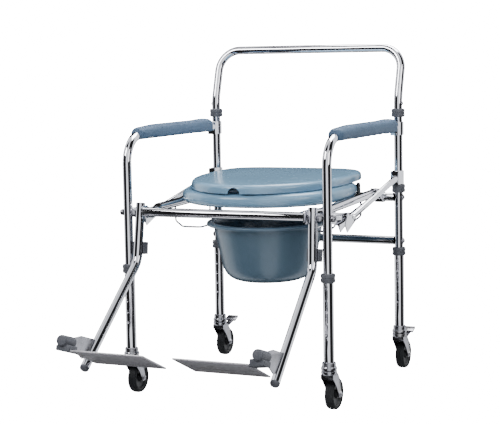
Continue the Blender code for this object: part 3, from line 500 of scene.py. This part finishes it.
def refined(node, bevel=0.0, degrees=38):
    """A CAD node's own shape as a finished piece: merged, edges eased, shaded smooth."""
    source = frame["nodes"][node]
    made = bpy.data.objects.new("fine_" + node, source.data.copy())
    bpy.context.scene.collection.objects.link(made)
    select_only(made)
    bpy.ops.object.mode_set(mode="EDIT")
    bpy.ops.mesh.select_all(action="SELECT")
    bpy.ops.mesh.remove_doubles(threshold=0.00001)
    bpy.ops.mesh.dissolve_limited(angle_limit=math.radians(1.0))
    bpy.ops.object.mode_set(mode="OBJECT")
    if bevel:
        apply_modifier(made, "eased", "BEVEL", width=bevel, segments=2, limit_method="ANGLE",
                       angle_limit=math.radians(degrees))
    return finish_piece(made, NODE_SLOT[node], NODE_BODY[node], node, degrees=degrees)


# %% [markdown]
# ## Back frame and cross bars
#
# One long tube runs up a rear leg, leans back, crosses over as the push
# handle and comes down the other leg. Two straight bars tie the legs. They are
# centre lines given a round section and a wall, so the lower mouths are open.

# %% Back frame
back_half = [(LEG_X, REAR_Y, 0.165), (LEG_X, REAR_Y, 0.710), (LEG_X, REAR_Y + 0.039, 0.839)]
back_line = rounded(back_half + [(-x, y, z) for x, y, z in reversed(back_half)], [0.12, 0.056, 0.056, 0.12])
back = tube("back_tube", back_line, FRAME_TUBE)
finish_piece(back, "chrome_tube", "back_frame", "back_frame_tube")
for name, height in (("upper", 0.454), ("lower", 0.341)):
    bar = tube("cross_bar_" + name, [(-0.2486, REAR_Y, height), (0.2486, REAR_Y, height)], FRAME_TUBE)
    finish_piece(bar, "chrome_tube", "back_frame", "rear_cross_tube_" + name)
print("back frame:", len(back.data.polygons), "faces")

# %% [markdown]
# ## Screws
#
# Domed cross bolts hold the bars to the uprights. Each head is a spun half
# section with a washer under it and a hex recess sunk in its crown.

# %% Screw heads
DOME = [(0.0, 0.0050), (0.0014, 0.0049), (0.0035, 0.0043), (0.0050, 0.0030), (0.0057, 0.0014),
        (0.0058, 0.0009), (0.0078, 0.0009), (0.0080, 0.0006), (0.0080, 0.0), (0.0, 0.0)]


def screw(name, place, axis, body, scale=1.0):
    """A domed head whose flat back sits at place, its crown along the axis."""
    turned = Vector(axis).to_track_quat("Z", "Y").to_matrix().to_4x4()
    head = spun(name, [(r * scale, h * scale) for r, h in DOME], 24,
                Matrix.Translation(place) @ turned)
    recess = drill(0.0019 * scale, Vector(place) + Vector(axis) * 0.0028 * scale,
                   Vector(place) + Vector(axis) * 0.0080 * scale, 6)
    cut(head, recess)
    return finish_piece(head, "zinc", body)


for label, side in SIDES:
    for height in (0.454, 0.341):
        screw(f"cross_bar_screw_{label}_{round(height * 1000)}", (side * (LEG_X + 0.0112), REAR_Y, height),
              (side, 0, 0), "back_frame")
    screw(f"collar_screw_{label}", (side * (LEG_X + 0.0112), REAR_Y, 0.6965), (side, 0, 0), "back_frame", 0.6)
print("screws made")

# %% [markdown]
# ## Collars
#
# The grey collars are turned mouldings: a ring with eased rims and a shallow
# groove round the middle. The leg's own collar also caps the lower tube.

# %% Collars
def collar(name, x, y, z, bore, body, node, step=None):
    soft, outer, half = 0.0024, 0.0172, 0.0105
    profile = [(bore + 0.0006, half), (outer - soft, half), (outer - 0.0007, half - 0.0008),
               (outer, half - soft), (outer, 0.0022), (outer - 0.0007, 0.0016),
               (outer - 0.0007, -0.0016), (outer, -0.0022),
               (outer, soft - half), (outer - 0.0007, 0.0008 - half), (outer - soft, -half)]
    if step:
        profile += [(LEG_TUBE + 0.0004, -half), (LEG_TUBE + 0.0004, step), (bore, step)]
    else:
        profile += [(bore + 0.0006, -half), (bore, 0.0006 - half)]
    profile += [(bore, half - 0.0006)]
    made = spun(name, profile, 48, Matrix.Translation((x, y, z)), closed=True)
    return finish_piece(made, "collar_grey", body, node)


TUBE_BORE = 0.0115
ARM_COLLAR_Z = 0.672
BRACE_COLLAR_Z = 0.4775
for label, side in SIDES:
    collar("ring_collar_arm_" + label, side * LEG_X, REAR_Y, ARM_COLLAR_Z, TUBE_BORE,
           "back_frame", "arm_collar_" + label)
    collar("ring_collar_brace_" + label, side * LEG_X, REAR_Y, BRACE_COLLAR_Z, TUBE_BORE,
           "back_frame", "brace_collar_" + label)
for label, side, y in LEGS:
    collar("leg_cap_" + label, side * LEG_X, y, 0.3135, 0.0115, "leg_extension_" + label,
           "leg_collar_" + label, 0.0029)
print("collars made")

# %% [markdown]
# ## Lower legs
#
# The lower leg is a larger tube with five adjusting holes in its front. The
# holes are really cut, so the inner tube and the spring button show in them.
# Under it sits the caster's plug with its two bearing rings.

# %% Lower legs
PLUG = [(0.0, 0.1300), (0.0110, 0.1300), (0.0122, 0.1180), (0.0145, 0.1180), (0.0160, 0.1172),
        (0.0165, 0.1155), (0.0165, 0.1090), (0.0168, 0.1080), (0.0182, 0.1068), (0.0190, 0.1050),
        (0.0190, 0.1010), (0.0184, 0.1000), (0.0160, 0.0995), (0.0, 0.0995)]
BUTTON = [(0.0, 0.0024), (0.0012, 0.0023), (0.0023, 0.0017), (0.0031, 0.0006), (0.0033, 0.0), (0.0, 0.0)]
LEG_FOOT_Z = 0.1182
LEG_TOP_Z = 0.316
TOP_HOLE_Z = 0.2895
HOLE_PITCH = 0.0271
BUTTON_Z = 0.1811
for label, side, y in LEGS:
    body = "leg_extension_" + label
    line = [(side * LEG_X, y, LEG_FOOT_Z), (side * LEG_X, y, LEG_TOP_Z)]
    leg = tube("leg_tube_" + label, line, LEG_TUBE, resolution=8)
    heights = [TOP_HOLE_Z - index * HOLE_PITCH for index in range(5)]
    cut(leg, *[drill(0.0040, (side * LEG_X, y - 0.02, z), (side * LEG_X, y, z)) for z in heights])
    plug = spun("plug_" + label, PLUG, 40, Matrix.Translation((side * LEG_X, y, 0)))
    plug.name = "caster_plug_" + label
    finish_piece(plug, "zinc", body)
    finish_piece(leg, "chrome_tube", body, "leg_extension_" + label)
    lay = (Matrix.Translation((side * LEG_X, y - LEG_TUBE - 0.0003, BUTTON_Z))
           @ Matrix.Rotation(math.pi / 2, 4, "X"))
    button = spun("spring_button_" + label, BUTTON, 24, lay)
    finish_piece(button, "zinc", "leg_button_" + label, "leg_button_" + label)
print("lower legs made")

# %% [markdown]
# ## Casters
#
# Each wheel is a rubber tyre with a faint centre seam on a dark grey hub with
# a sunk web. The stamped fork keeps its measured shape and gets eased edges.

# %% Wheels
TYRE = [(0.0288, 0.0098), (0.0305, 0.0110), (0.0330, 0.0110), (0.0350, 0.0102),
        (0.0364, 0.0082), (0.0372, 0.0050), (0.0375, 0.0016), (0.0372, 0.0003),
        (0.0372, -0.0003), (0.0375, -0.0016), (0.0372, -0.0050), (0.0364, -0.0082),
        (0.0350, -0.0102), (0.0330, -0.0110), (0.0305, -0.0110), (0.0288, -0.0098)]
HUB = [(0.0044, 0.0108), (0.0050, 0.0110), (0.0090, 0.0110), (0.0104, 0.0100),
       (0.0110, 0.0052), (0.0125, 0.0042), (0.0225, 0.0042), (0.0242, 0.0050),
       (0.0258, 0.0086), (0.0272, 0.0096), (0.0285, 0.0096)]
hub_profile = HUB + [(radius, -height) for radius, height in reversed(HUB)]
for label, side, y in LEGS:
    axle = Matrix.Translation((side * LEG_X, y + 0.030, 0.0375)) @ Matrix.Rotation(math.pi / 2, 4, "Y")
    tyre = spun("wheel_tyre_" + label, TYRE, 64, axle, closed=True)
    finish_piece(tyre, "tyre_rubber", "caster_wheel_" + label, "tyre_" + label)
    hub = spun("wheel_hub_" + label, hub_profile, 64, axle, closed=True)
    finish_piece(hub, "hub_plastic", "caster_wheel_" + label, "hub_" + label)
    refined("caster_fork_" + label, 0.0004)
    for end in (-1, 1):
        screw(f"axle_cap_{label}_{'left' if end > 0 else 'right'}",
              (side * LEG_X + end * 0.0190, y + 0.030, 0.0375), (end, 0, 0), "caster_swivel_" + label, 0.55)
for label in ("rear_left", "rear_right"):
    refined("brake_pedal_" + label, 0.0004)
print("casters made")

# %% [markdown]
# ## Side frames
#
# A front leg turns over into the armrest and ends in a band that is wrapped
# round the rear upright. The band is an arc round the upright with a block
# drawn forwards from it, the outline extruded to the band's height. The lower
# brace keeps its measured shape, with eased edges and smooth shading.

# %% Side frames
BAND_Z = 0.632
BAND_HALF = 0.017
BAND_RADIUS = 0.0142
EAR_HALF = 0.0112
for label, side in SIDES:
    body = "side_frame_" + label
    arm_line = rounded([(side * LEG_X, FRONT_Y, 0.165), (side * LEG_X, FRONT_Y, 0.635),
                        (side * LEG_X, REAR_Y - 0.020, 0.635)], [0.065])
    arm = tube("arm_tube_" + label, arm_line, FRAME_TUBE)
    cut(arm, drill(0.0035, (side * 0.24, FRONT_Y, 0.451), (side * 0.28, FRONT_Y, 0.451)))
    x = side * LEG_X
    edge = []
    for step in range(25):
        angle = math.radians(-42 + (264 * step) / 24)
        edge.append((x + BAND_RADIUS * math.cos(angle), REAR_Y + BAND_RADIUS * math.sin(angle)))
    edge += [(x - EAR_HALF, REAR_Y - 0.020), (x - EAR_HALF, REAR_Y - 0.031),
             (x + EAR_HALF, REAR_Y - 0.031), (x + EAR_HALF, REAR_Y - 0.020)]
    faces = [[(east, north, BAND_Z + rise) for east, north in edge] for rise in (-BAND_HALF, BAND_HALF)]
    band = stacked("arm_band_" + label, faces, True, True)
    cut(band, drill(0.0115, (x, REAR_Y, BAND_Z - 0.03), (x, REAR_Y, BAND_Z + 0.03), 48))
    apply_modifier(band, "eased", "BEVEL", width=0.0008, segments=2, limit_method="ANGLE",
                   angle_limit=math.radians(50))
    finish_piece(band, "chrome_tube", body)
    finish_piece(arm, "chrome_tube", body, "side_frame_tube_" + label)
    refined("brace_" + label, 0.0003)
    refined("pivot_bolt_" + label, 0.0002, 25)
    refined("hanger_latch_" + label, 0.0008)
print("side frames made")


# %% [markdown]
# ## Arm pads
#
# The pads are skinned foam mouldings clipped over the tube. A pad is a row of
# cross sections: narrow and low at the front with finger grips in its lower
# edges, full and crowned in the middle, and a raised round end at the back.
# They are drawn as stations along the arm and rounded by a subdivision.

# %% Pads
def bell(value, centre, width):
    return math.exp(-((value - centre) / width) ** 2)


def pad_station(side, y, along, pull=0.0):
    """One closed section round the arm; along runs 0 at the front to 1 at the back."""
    half = 0.0200 + 0.0050 * min(1.0, along / 0.22) - 0.0012 * bell(along, 0.94, 0.08)
    crown = 0.0188 + 0.0048 * min(1.0, along / 0.25) + 0.0016 * bell(along, 0.92, 0.07)
    wave = 0.5 + 0.5 * math.cos(2 * math.pi * (along - 0.30) / 0.105)
    grip = 0.0030 * wave if 0.26 < along < 0.78 else 0.0
    skirt = -0.0096 + grip + 0.0040 * bell(along, 0.12, 0.06)
    half -= pull
    crown -= pull * 0.7
    middle = Vector((side * LEG_X, y, 0.635))
    inner = 0.0115
    shape = [(inner, skirt), (half - 0.0035, skirt - 0.0002), (half - 0.0004, skirt + 0.0035), (half, 0.0035),
             (half - 0.0008, crown - 0.0085), (half - 0.0060, crown - 0.0022),
             (half * 0.40, crown), (0.0, crown + 0.0004)]
    bore = [(0.0, inner), (inner * 0.50, inner * 0.866), (inner * 0.866, inner * 0.50), (inner, 0.0)]
    right = shape[:-1]
    left = [(-x, z) for x, z in reversed(shape[:-1])]
    under = [(-x, z) for x, z in bore[1:]][::-1] + [(0.0, inner)] + bore[1:]
    return [middle + Vector((x, 0, z)) for x, z in right + [shape[-1]] + left + under]


PAD_FRONT, PAD_REAR = SHIFT_Y - 0.2000, SHIFT_Y + 0.1900
for label, side in SIDES:
    stations = []
    count = 44
    for index in range(count + 1):
        along = index / count
        edge = min(along, 1 - along) * count
        pull = 0.0042 * max(0.0, 1 - edge / 2.2) ** 2
        stations.append(pad_station(side, PAD_FRONT + (PAD_REAR - PAD_FRONT) * along, along, pull))
    pad = stacked("arm_pad_" + label, stations, True, True)
    apply_modifier(pad, "rounded", "SUBSURF", levels=2, render_levels=2)
    finish_piece(pad, "pad_vinyl", "side_frame_" + label, "armrest_pad_" + label, degrees=60)
print("pads made")

# %% [markdown]
# ## Footrests
#
# A hanger tube hangs from the pivot bolt, bends forwards and carries a ribbed
# footplate on a hinge barrel. Each plate is a tray: a rolled rim round a sheet
# with pressed ribs, so light runs along it in lines.

# %% Hangers
HANGER_PLUG = [(0.0, 0.0080), (0.0050, 0.0074), (0.0090, 0.0055), (0.0112, 0.0022),
               (0.0114, -0.0015), (0.0098, -0.0018), (0.0098, -0.0060), (0.0, -0.0060)]
HANGER_CAP = [(0.0, 0.0010), (0.0080, 0.0009), (0.0108, 0.0002), (0.0108, 0.0),
              (0.0096, -0.0002), (0.0096, -0.0060), (0.0, -0.0060)]
for label, side in SIDES:
    body = "footrest_hanger_" + label
    line = rounded([(side * 0.2246, SHIFT_Y - 0.2500, 0.4748), (side * 0.2286, SHIFT_Y - 0.2660, 0.3343),
                    (side * 0.2380, SHIFT_Y - 0.5110, 0.1200)], [0.050])
    hanger = tube("hanger_tube_fine_" + label, line, FRAME_TUBE)
    cut(hanger, drill(0.0035, (side * 0.205, FRONT_Y, 0.451), (side * 0.245, FRONT_Y, 0.451)))
    finish_piece(hanger, "chrome_tube", body, "hanger_tube_" + label)
    down = (Vector(line[-1]) - Vector(line[-2])).normalized()
    lay = Matrix.Translation(line[-1]) @ down.to_track_quat("Z", "Y").to_matrix().to_4x4()
    plug = spun("hanger_plug_" + label, HANGER_PLUG, 40, lay)
    finish_piece(plug, "collar_grey", body)
    top = Vector(line[0])
    up = (top - Vector(line[1])).normalized()
    lay = Matrix.Translation(top) @ up.to_track_quat("Z", "Y").to_matrix().to_4x4()
    cap = spun("hanger_cap_" + label, HANGER_CAP, 40, lay)
    finish_piece(cap, "collar_grey", body)
    refined("footrest_bracket_" + label, 0.0004)
    refined("footplate_hinge_" + label, 0.0012)
print("hangers made")

# %% Footplates
PLATE_TILT = Matrix.Rotation(math.radians(-24), 4, "X")
for label, side in SIDES:
    place = Matrix.Translation((side * 0.1280, SHIFT_Y - 0.5465, 0.1540)) @ PLATE_TILT
    half_x, half_y = 0.0920, 0.0600
    deselect()
    bpy.ops.mesh.primitive_cube_add(size=1.0, location=(0, 0, -0.0005))
    plate = bpy.context.object
    plate.name = "footplate_tray_" + label
    bpy.ops.transform.resize(value=(2 * half_x, 2 * half_y, 0.0038))
    bpy.ops.object.transform_apply(location=True, rotation=True, scale=True)
    bpy.ops.object.mode_set(mode="EDIT")
    mesh = bmesh.from_edit_mesh(plate.data)
    for face in mesh.faces:
        face.select = face.normal.z > 0.9
    bmesh.update_edit_mesh(plate.data)
    bpy.ops.mesh.inset(thickness=0.0045, depth=0.0)
    bpy.ops.mesh.inset(thickness=0.0012, depth=-0.0014)
    bpy.ops.object.mode_set(mode="OBJECT")
    apply_modifier(plate, "eased", "BEVEL", width=0.0008, segments=2, limit_method="ANGLE", angle_limit=0.5)
    ribs = []
    for index in range(8):
        y = -half_y + 0.0135 + index * (2 * half_y - 0.027) / 7
        deselect()
        bpy.ops.mesh.primitive_cube_add(size=1.0, location=(0, y, 0.0011))
        rib = bpy.context.object
        bpy.ops.transform.resize(value=(2 * half_x - 0.018, 0.0066, 0.0052))
        bpy.ops.object.transform_apply(location=True, rotation=True, scale=True)
        apply_modifier(rib, "eased", "BEVEL", width=0.0016, segments=3, limit_method="ANGLE", angle_limit=0.5)
        ribs.append(rib)
    plate = join("footplate_tray_" + label, plate, *ribs)
    plate.data.transform(place)
    finish_piece(plate, "footplate_metal", "footplate_" + label, "footplate_" + label)
print("footplates made")

# %% [markdown]
# ## Seat frame
#
# Two side rails pivot on the upper cross bar and a front rail drops over the
# pivot bolts. The rails, the bucket's wire runners and the hook plates keep
# their measured shape, with eased edges and smooth shading.

# %% Rails
def in_seat(points):
    return [SEAT_PLACE @ Vector(point) for point in points]


refined("front_rail", 0.0003)
for label, side in SIDES:
    refined("side_rail_" + label, 0.0002)
refined("seat_hinge", 0.0005)
print("seat frame made")

# %% [markdown]
# ## Seat ring, lid and bucket
#
# The ring and the lid are thin mouldings with a generous rolled edge. Each is
# a stack of rounded outlines, from the lower rim up and over, then given a
# wall. The bucket is spun, with a rolled flange and a soft bottom corner.

# %% Ring and lid
POINTS = 96


def outline(shape, inset, height):
    """A rounded outline at a height in the seat frame's own tilt, inset all round."""
    half, middle, front, rear, front_power, rear_power = shape
    loop = []
    for index in range(POINTS):
        angle = 2 * math.pi * index / POINTS
        across, along = math.cos(angle), math.sin(angle)
        reach, power = (rear, rear_power) if along > 0 else (front, front_power)
        x = math.copysign(abs(across) ** (2 / power), across) * (half - inset)
        y = math.copysign(abs(along) ** (2 / power), along) * (reach - inset)
        loop.append(SEAT_PLACE @ Vector((x, middle + y, height)))
    return loop


RING = (0.2120, -0.250, 0.200, 0.168, 2.1, 3.6)
OPENING = (0.112, -0.255, 0.135, 0.115, 2.2, 2.4)
LID = (0.1975, -0.188, 0.262, 0.162, 2.15, 4.2)
ring_low, ring_high, roll = 0.0205, 0.0540, 0.0155
loops = []
for step in range(9):
    angle = math.radians(-90 + 90 * step / 8)
    loops.append(outline(RING, roll * (1 - math.cos(angle)), ring_low + roll * (1 + math.sin(angle))))
for step in range(9):
    angle = math.radians(90 * step / 8)
    loops.append(outline(RING, roll * (1 - math.cos(angle)), ring_high - roll * (1 - math.sin(angle))))
for inset, drop in ((-0.0160, 0.0), (-0.0110, 0.0002), (-0.0070, 0.0012), (-0.0035, 0.0034),
                    (-0.0012, 0.0068), (0.0, 0.0110), (0.0, 0.0200), (0.0, 0.0310)):
    loops.append(outline(OPENING, inset, ring_high - drop))
ring = stacked("seat_ring_moulding", loops)
apply_modifier(ring, "wall", "SOLIDIFY", thickness=0.0035, offset=-1.0)
print("ring:", len(ring.data.polygons), "faces")

lid_low, lid_high, lid_roll = 0.0550, 0.0770, 0.0110
loops = [outline(LID, inset, lid_low + rise)
         for inset, rise in ((0.0022, 0.0), (0.0008, 0.0006), (0.0, 0.0025))]
for step in range(10):
    angle = math.radians(90 * step / 9)
    loops.append(outline(LID, lid_roll * (1 - math.cos(angle)), lid_high - lid_roll * (1 - math.sin(angle))))
for inset, rise in ((0.0160, 0.0003), (0.0300, 0.0009), (0.0600, 0.0018), (0.0900, 0.0023), (0.1200, 0.0025),
                    (0.1350, 0.0026)):
    loops.append(outline(LID, inset, lid_high + rise))
lid = stacked("lid_moulding", loops, cap_last=True)
apply_modifier(lid, "wall", "SOLIDIFY", thickness=0.0035, offset=-1.0)
front = in_seat([(0, -0.480, lid_low), (0, -0.420, lid_low)])
cut(lid, drill(0.0160, front[0], front[1], 48))
print("lid:", len(lid.data.polygons), "faces")

# %% Hinge lugs
def lug(name, x, points):
    """An eye round the hinge pin with a tab, as wide as a finger."""
    faces = [[SEAT_PLACE @ Vector((x + shift, y, z)) for y, z in points] for shift in (-0.009, 0.009)]
    made = stacked(name, faces, True, True)
    ends = in_seat([(x - 0.02, -0.060, 0.035), (x + 0.02, -0.060, 0.035)])
    cut(made, drill(0.0035, ends[0], ends[1]))
    apply_modifier(made, "eased", "BEVEL", width=0.0008, segments=2, limit_method="ANGLE", angle_limit=0.6)
    return made


def eye(start, finish):
    turns = [math.radians(start + (finish - start) * step / 16) for step in range(17)]
    return [(-0.060 + 0.0065 * math.cos(turn), 0.035 + 0.0065 * math.sin(turn)) for turn in turns]


for label, side in SIDES:
    made = lug("ring_lug_" + label, side * 0.060, eye(110, -130) + [(-0.0842, 0.0300), (-0.0842, 0.0410)])
    finish_piece(made, "seat_plastic", "seat_ring")
    made = lug("lid_lug_" + label, side * 0.100, eye(0, -180) + [(-0.0665, 0.0749), (-0.0535, 0.0749)])
    finish_piece(made, "seat_plastic", "lid")
finish_piece(ring, "seat_plastic", "seat_ring", "seat_ring", degrees=40)
finish_piece(lid, "seat_plastic", "lid", "lid", degrees=40)

# %% Bucket
flange = -0.0410
outer = [(0.1470, flange + 0.0085), (0.1505, flange + 0.0084), (0.1530, flange + 0.0074),
         (0.1542, flange + 0.0055), (0.1545, flange + 0.0035), (0.1542, flange + 0.0012),
         (0.1530, flange), (0.1420, flange), (0.1378, flange - 0.0004), (0.1366, flange - 0.0019),
         (0.1355, flange - 0.0112), (0.1332, flange - 0.0242), (0.1273, flange - 0.0521),
         (0.1196, flange - 0.0921), (0.1169, flange - 0.1051), (0.1128, flange - 0.1153),
         (0.1079, flange - 0.1237), (0.1015, flange - 0.1302), (0.0934, flange - 0.1353),
         (0.0843, flange - 0.1386), (0.0707, flange - 0.1406), (0.0589, flange - 0.1414),
         (0.0562, flange - 0.1395), (0.0272, flange - 0.1395), (0.0, flange - 0.1395)]
inner = [(0.0, flange - 0.1367), (0.0272, flange - 0.1367), (0.0562, flange - 0.1375),
         (0.0816, flange - 0.1362), (0.0915, flange - 0.1325), (0.0993, flange - 0.1274),
         (0.1056, flange - 0.1209), (0.1104, flange - 0.1125), (0.1144, flange - 0.1032),
         (0.1171, flange - 0.0916), (0.1249, flange - 0.0521), (0.1309, flange - 0.0242),
         (0.1328, flange - 0.0102), (0.1340, flange + 0.0030), (0.1360, flange + 0.0072),
         (0.1400, flange + 0.0085)]
bucket = spun("bucket_moulding", inner + outer, 96, SEAT_PLACE @ Matrix.Translation((0, -0.250, 0)))
finish_piece(bucket, "bucket_plastic", "bucket", "bucket", degrees=40)
print("bucket:", len(bucket.data.polygons), "faces")

# %% [markdown]
# ## Light and floor
#
# Three soft panels light the chair. The world outside the frame is a ring of
# bright and dark panels, which is what puts long streaks down the chrome. The
# floor is a pale sheet that glows, as a light table does. It is left out of
# mirrored and bounced light, so it neither greys the chrome nor lights the
# chair from below, and it takes no shadow.

# %% Floor
FLOOR_GLOW = 9.0
deselect()
bpy.ops.mesh.primitive_plane_add(size=14.0, location=(0, 0, 0))
floor = bpy.context.object
floor.name = "studio_floor"
floor_finish = Finish("studio_floor", (0.95, 0.95, 0.95), 0.75)
floor_finish.fixed(Emission_Color=(1.0, 1.0, 1.0, 1.0), Emission_Strength=FLOOR_GLOW)
floor.data.materials.append(floor_finish.material)
floor.visible_glossy = False
floor.visible_diffuse = False

# %% Lights
def panel(name, place, aim, size, power):
    data = bpy.data.lights.new(name, "AREA")
    data.shape = "RECTANGLE"
    data.size, data.size_y = size
    data.energy = power
    made = bpy.data.objects.new(name, data)
    made.location = place
    made.rotation_euler = (Vector(aim) - Vector(place)).to_track_quat("-Z", "Y").to_euler()
    bpy.context.scene.collection.objects.link(made)


panel("key_panel", (-1.6, -2.6, 2.6), (0, 0, 0.45), (1.6, 1.6), 55)
panel("fill_panel", (2.8, -1.2, 1.6), (0, 0, 0.45), (1.4, 1.8), 22)
panel("top_panel", (0.2, 0.9, 3.0), (0, 0.1, 0.4), (2.0, 1.6), 75)

# %% World
STRIPES = 3.0
STRIPE_TURN = 1.294
DARK_WALL = 0.03
BRIGHT_STEP = 1.25
OVERHEAD = 0.95
BACKDROP = 12.0
world = bpy.data.worlds.new("studio_world")
bpy.context.scene.world = world
world.use_nodes = True
sky = world.node_tree
sky.nodes.clear()
output = sky.nodes.new("ShaderNodeOutputWorld")
direction = sky.nodes.new("ShaderNodeTexCoord")
parts = sky.nodes.new("ShaderNodeSeparateXYZ")
sky.links.new(direction.outputs["Generated"], parts.inputs[0])
east, north, height = (Wire(sky, parts.outputs[index]) for index in range(3))
bearing = east._math("ARCTAN2", north, east)
stripes = bearing._math("SINE", bearing * STRIPES - STRIPE_TURN, 0.0)
gate = sky.nodes.new("ShaderNodeMapRange")
gate.interpolation_type = "SMOOTHSTEP"
gate.inputs["From Min"].default_value = 0.0
gate.inputs["From Max"].default_value = 0.60
sky.links.new(stripes.socket, gate.inputs["Value"])
lift = sky.nodes.new("ShaderNodeMapRange")
lift.interpolation_type = "SMOOTHSTEP"
lift.inputs["From Min"].default_value = 0.88
lift.inputs["From Max"].default_value = 1.0
sky.links.new(height.socket, lift.inputs["Value"])
level = DARK_WALL + BRIGHT_STEP * Wire(sky, gate.outputs[0])
level = level * (1 - Wire(sky, lift.outputs[0])) + OVERHEAD * Wire(sky, lift.outputs[0])
studio = sky.nodes.new("ShaderNodeBackground")
studio.inputs["Color"].default_value = (0.95, 0.97, 1.0, 1.0)
sky.links.new(level.socket, studio.inputs["Strength"])
plain = sky.nodes.new("ShaderNodeBackground")
plain.inputs["Color"].default_value = (0.97, 0.97, 0.98, 1.0)
plain.inputs["Strength"].default_value = BACKDROP
choose = sky.nodes.new("ShaderNodeMixShader")
path = sky.nodes.new("ShaderNodeLightPath")
sky.links.new(path.outputs["Is Camera Ray"], choose.inputs[0])
sky.links.new(studio.outputs[0], choose.inputs[1])
sky.links.new(plain.outputs[0], choose.inputs[2])
sky.links.new(choose.outputs[0], output.inputs[0])
bpy.context.scene.view_settings.look = "AgX - Medium High Contrast"
print("studio lit")
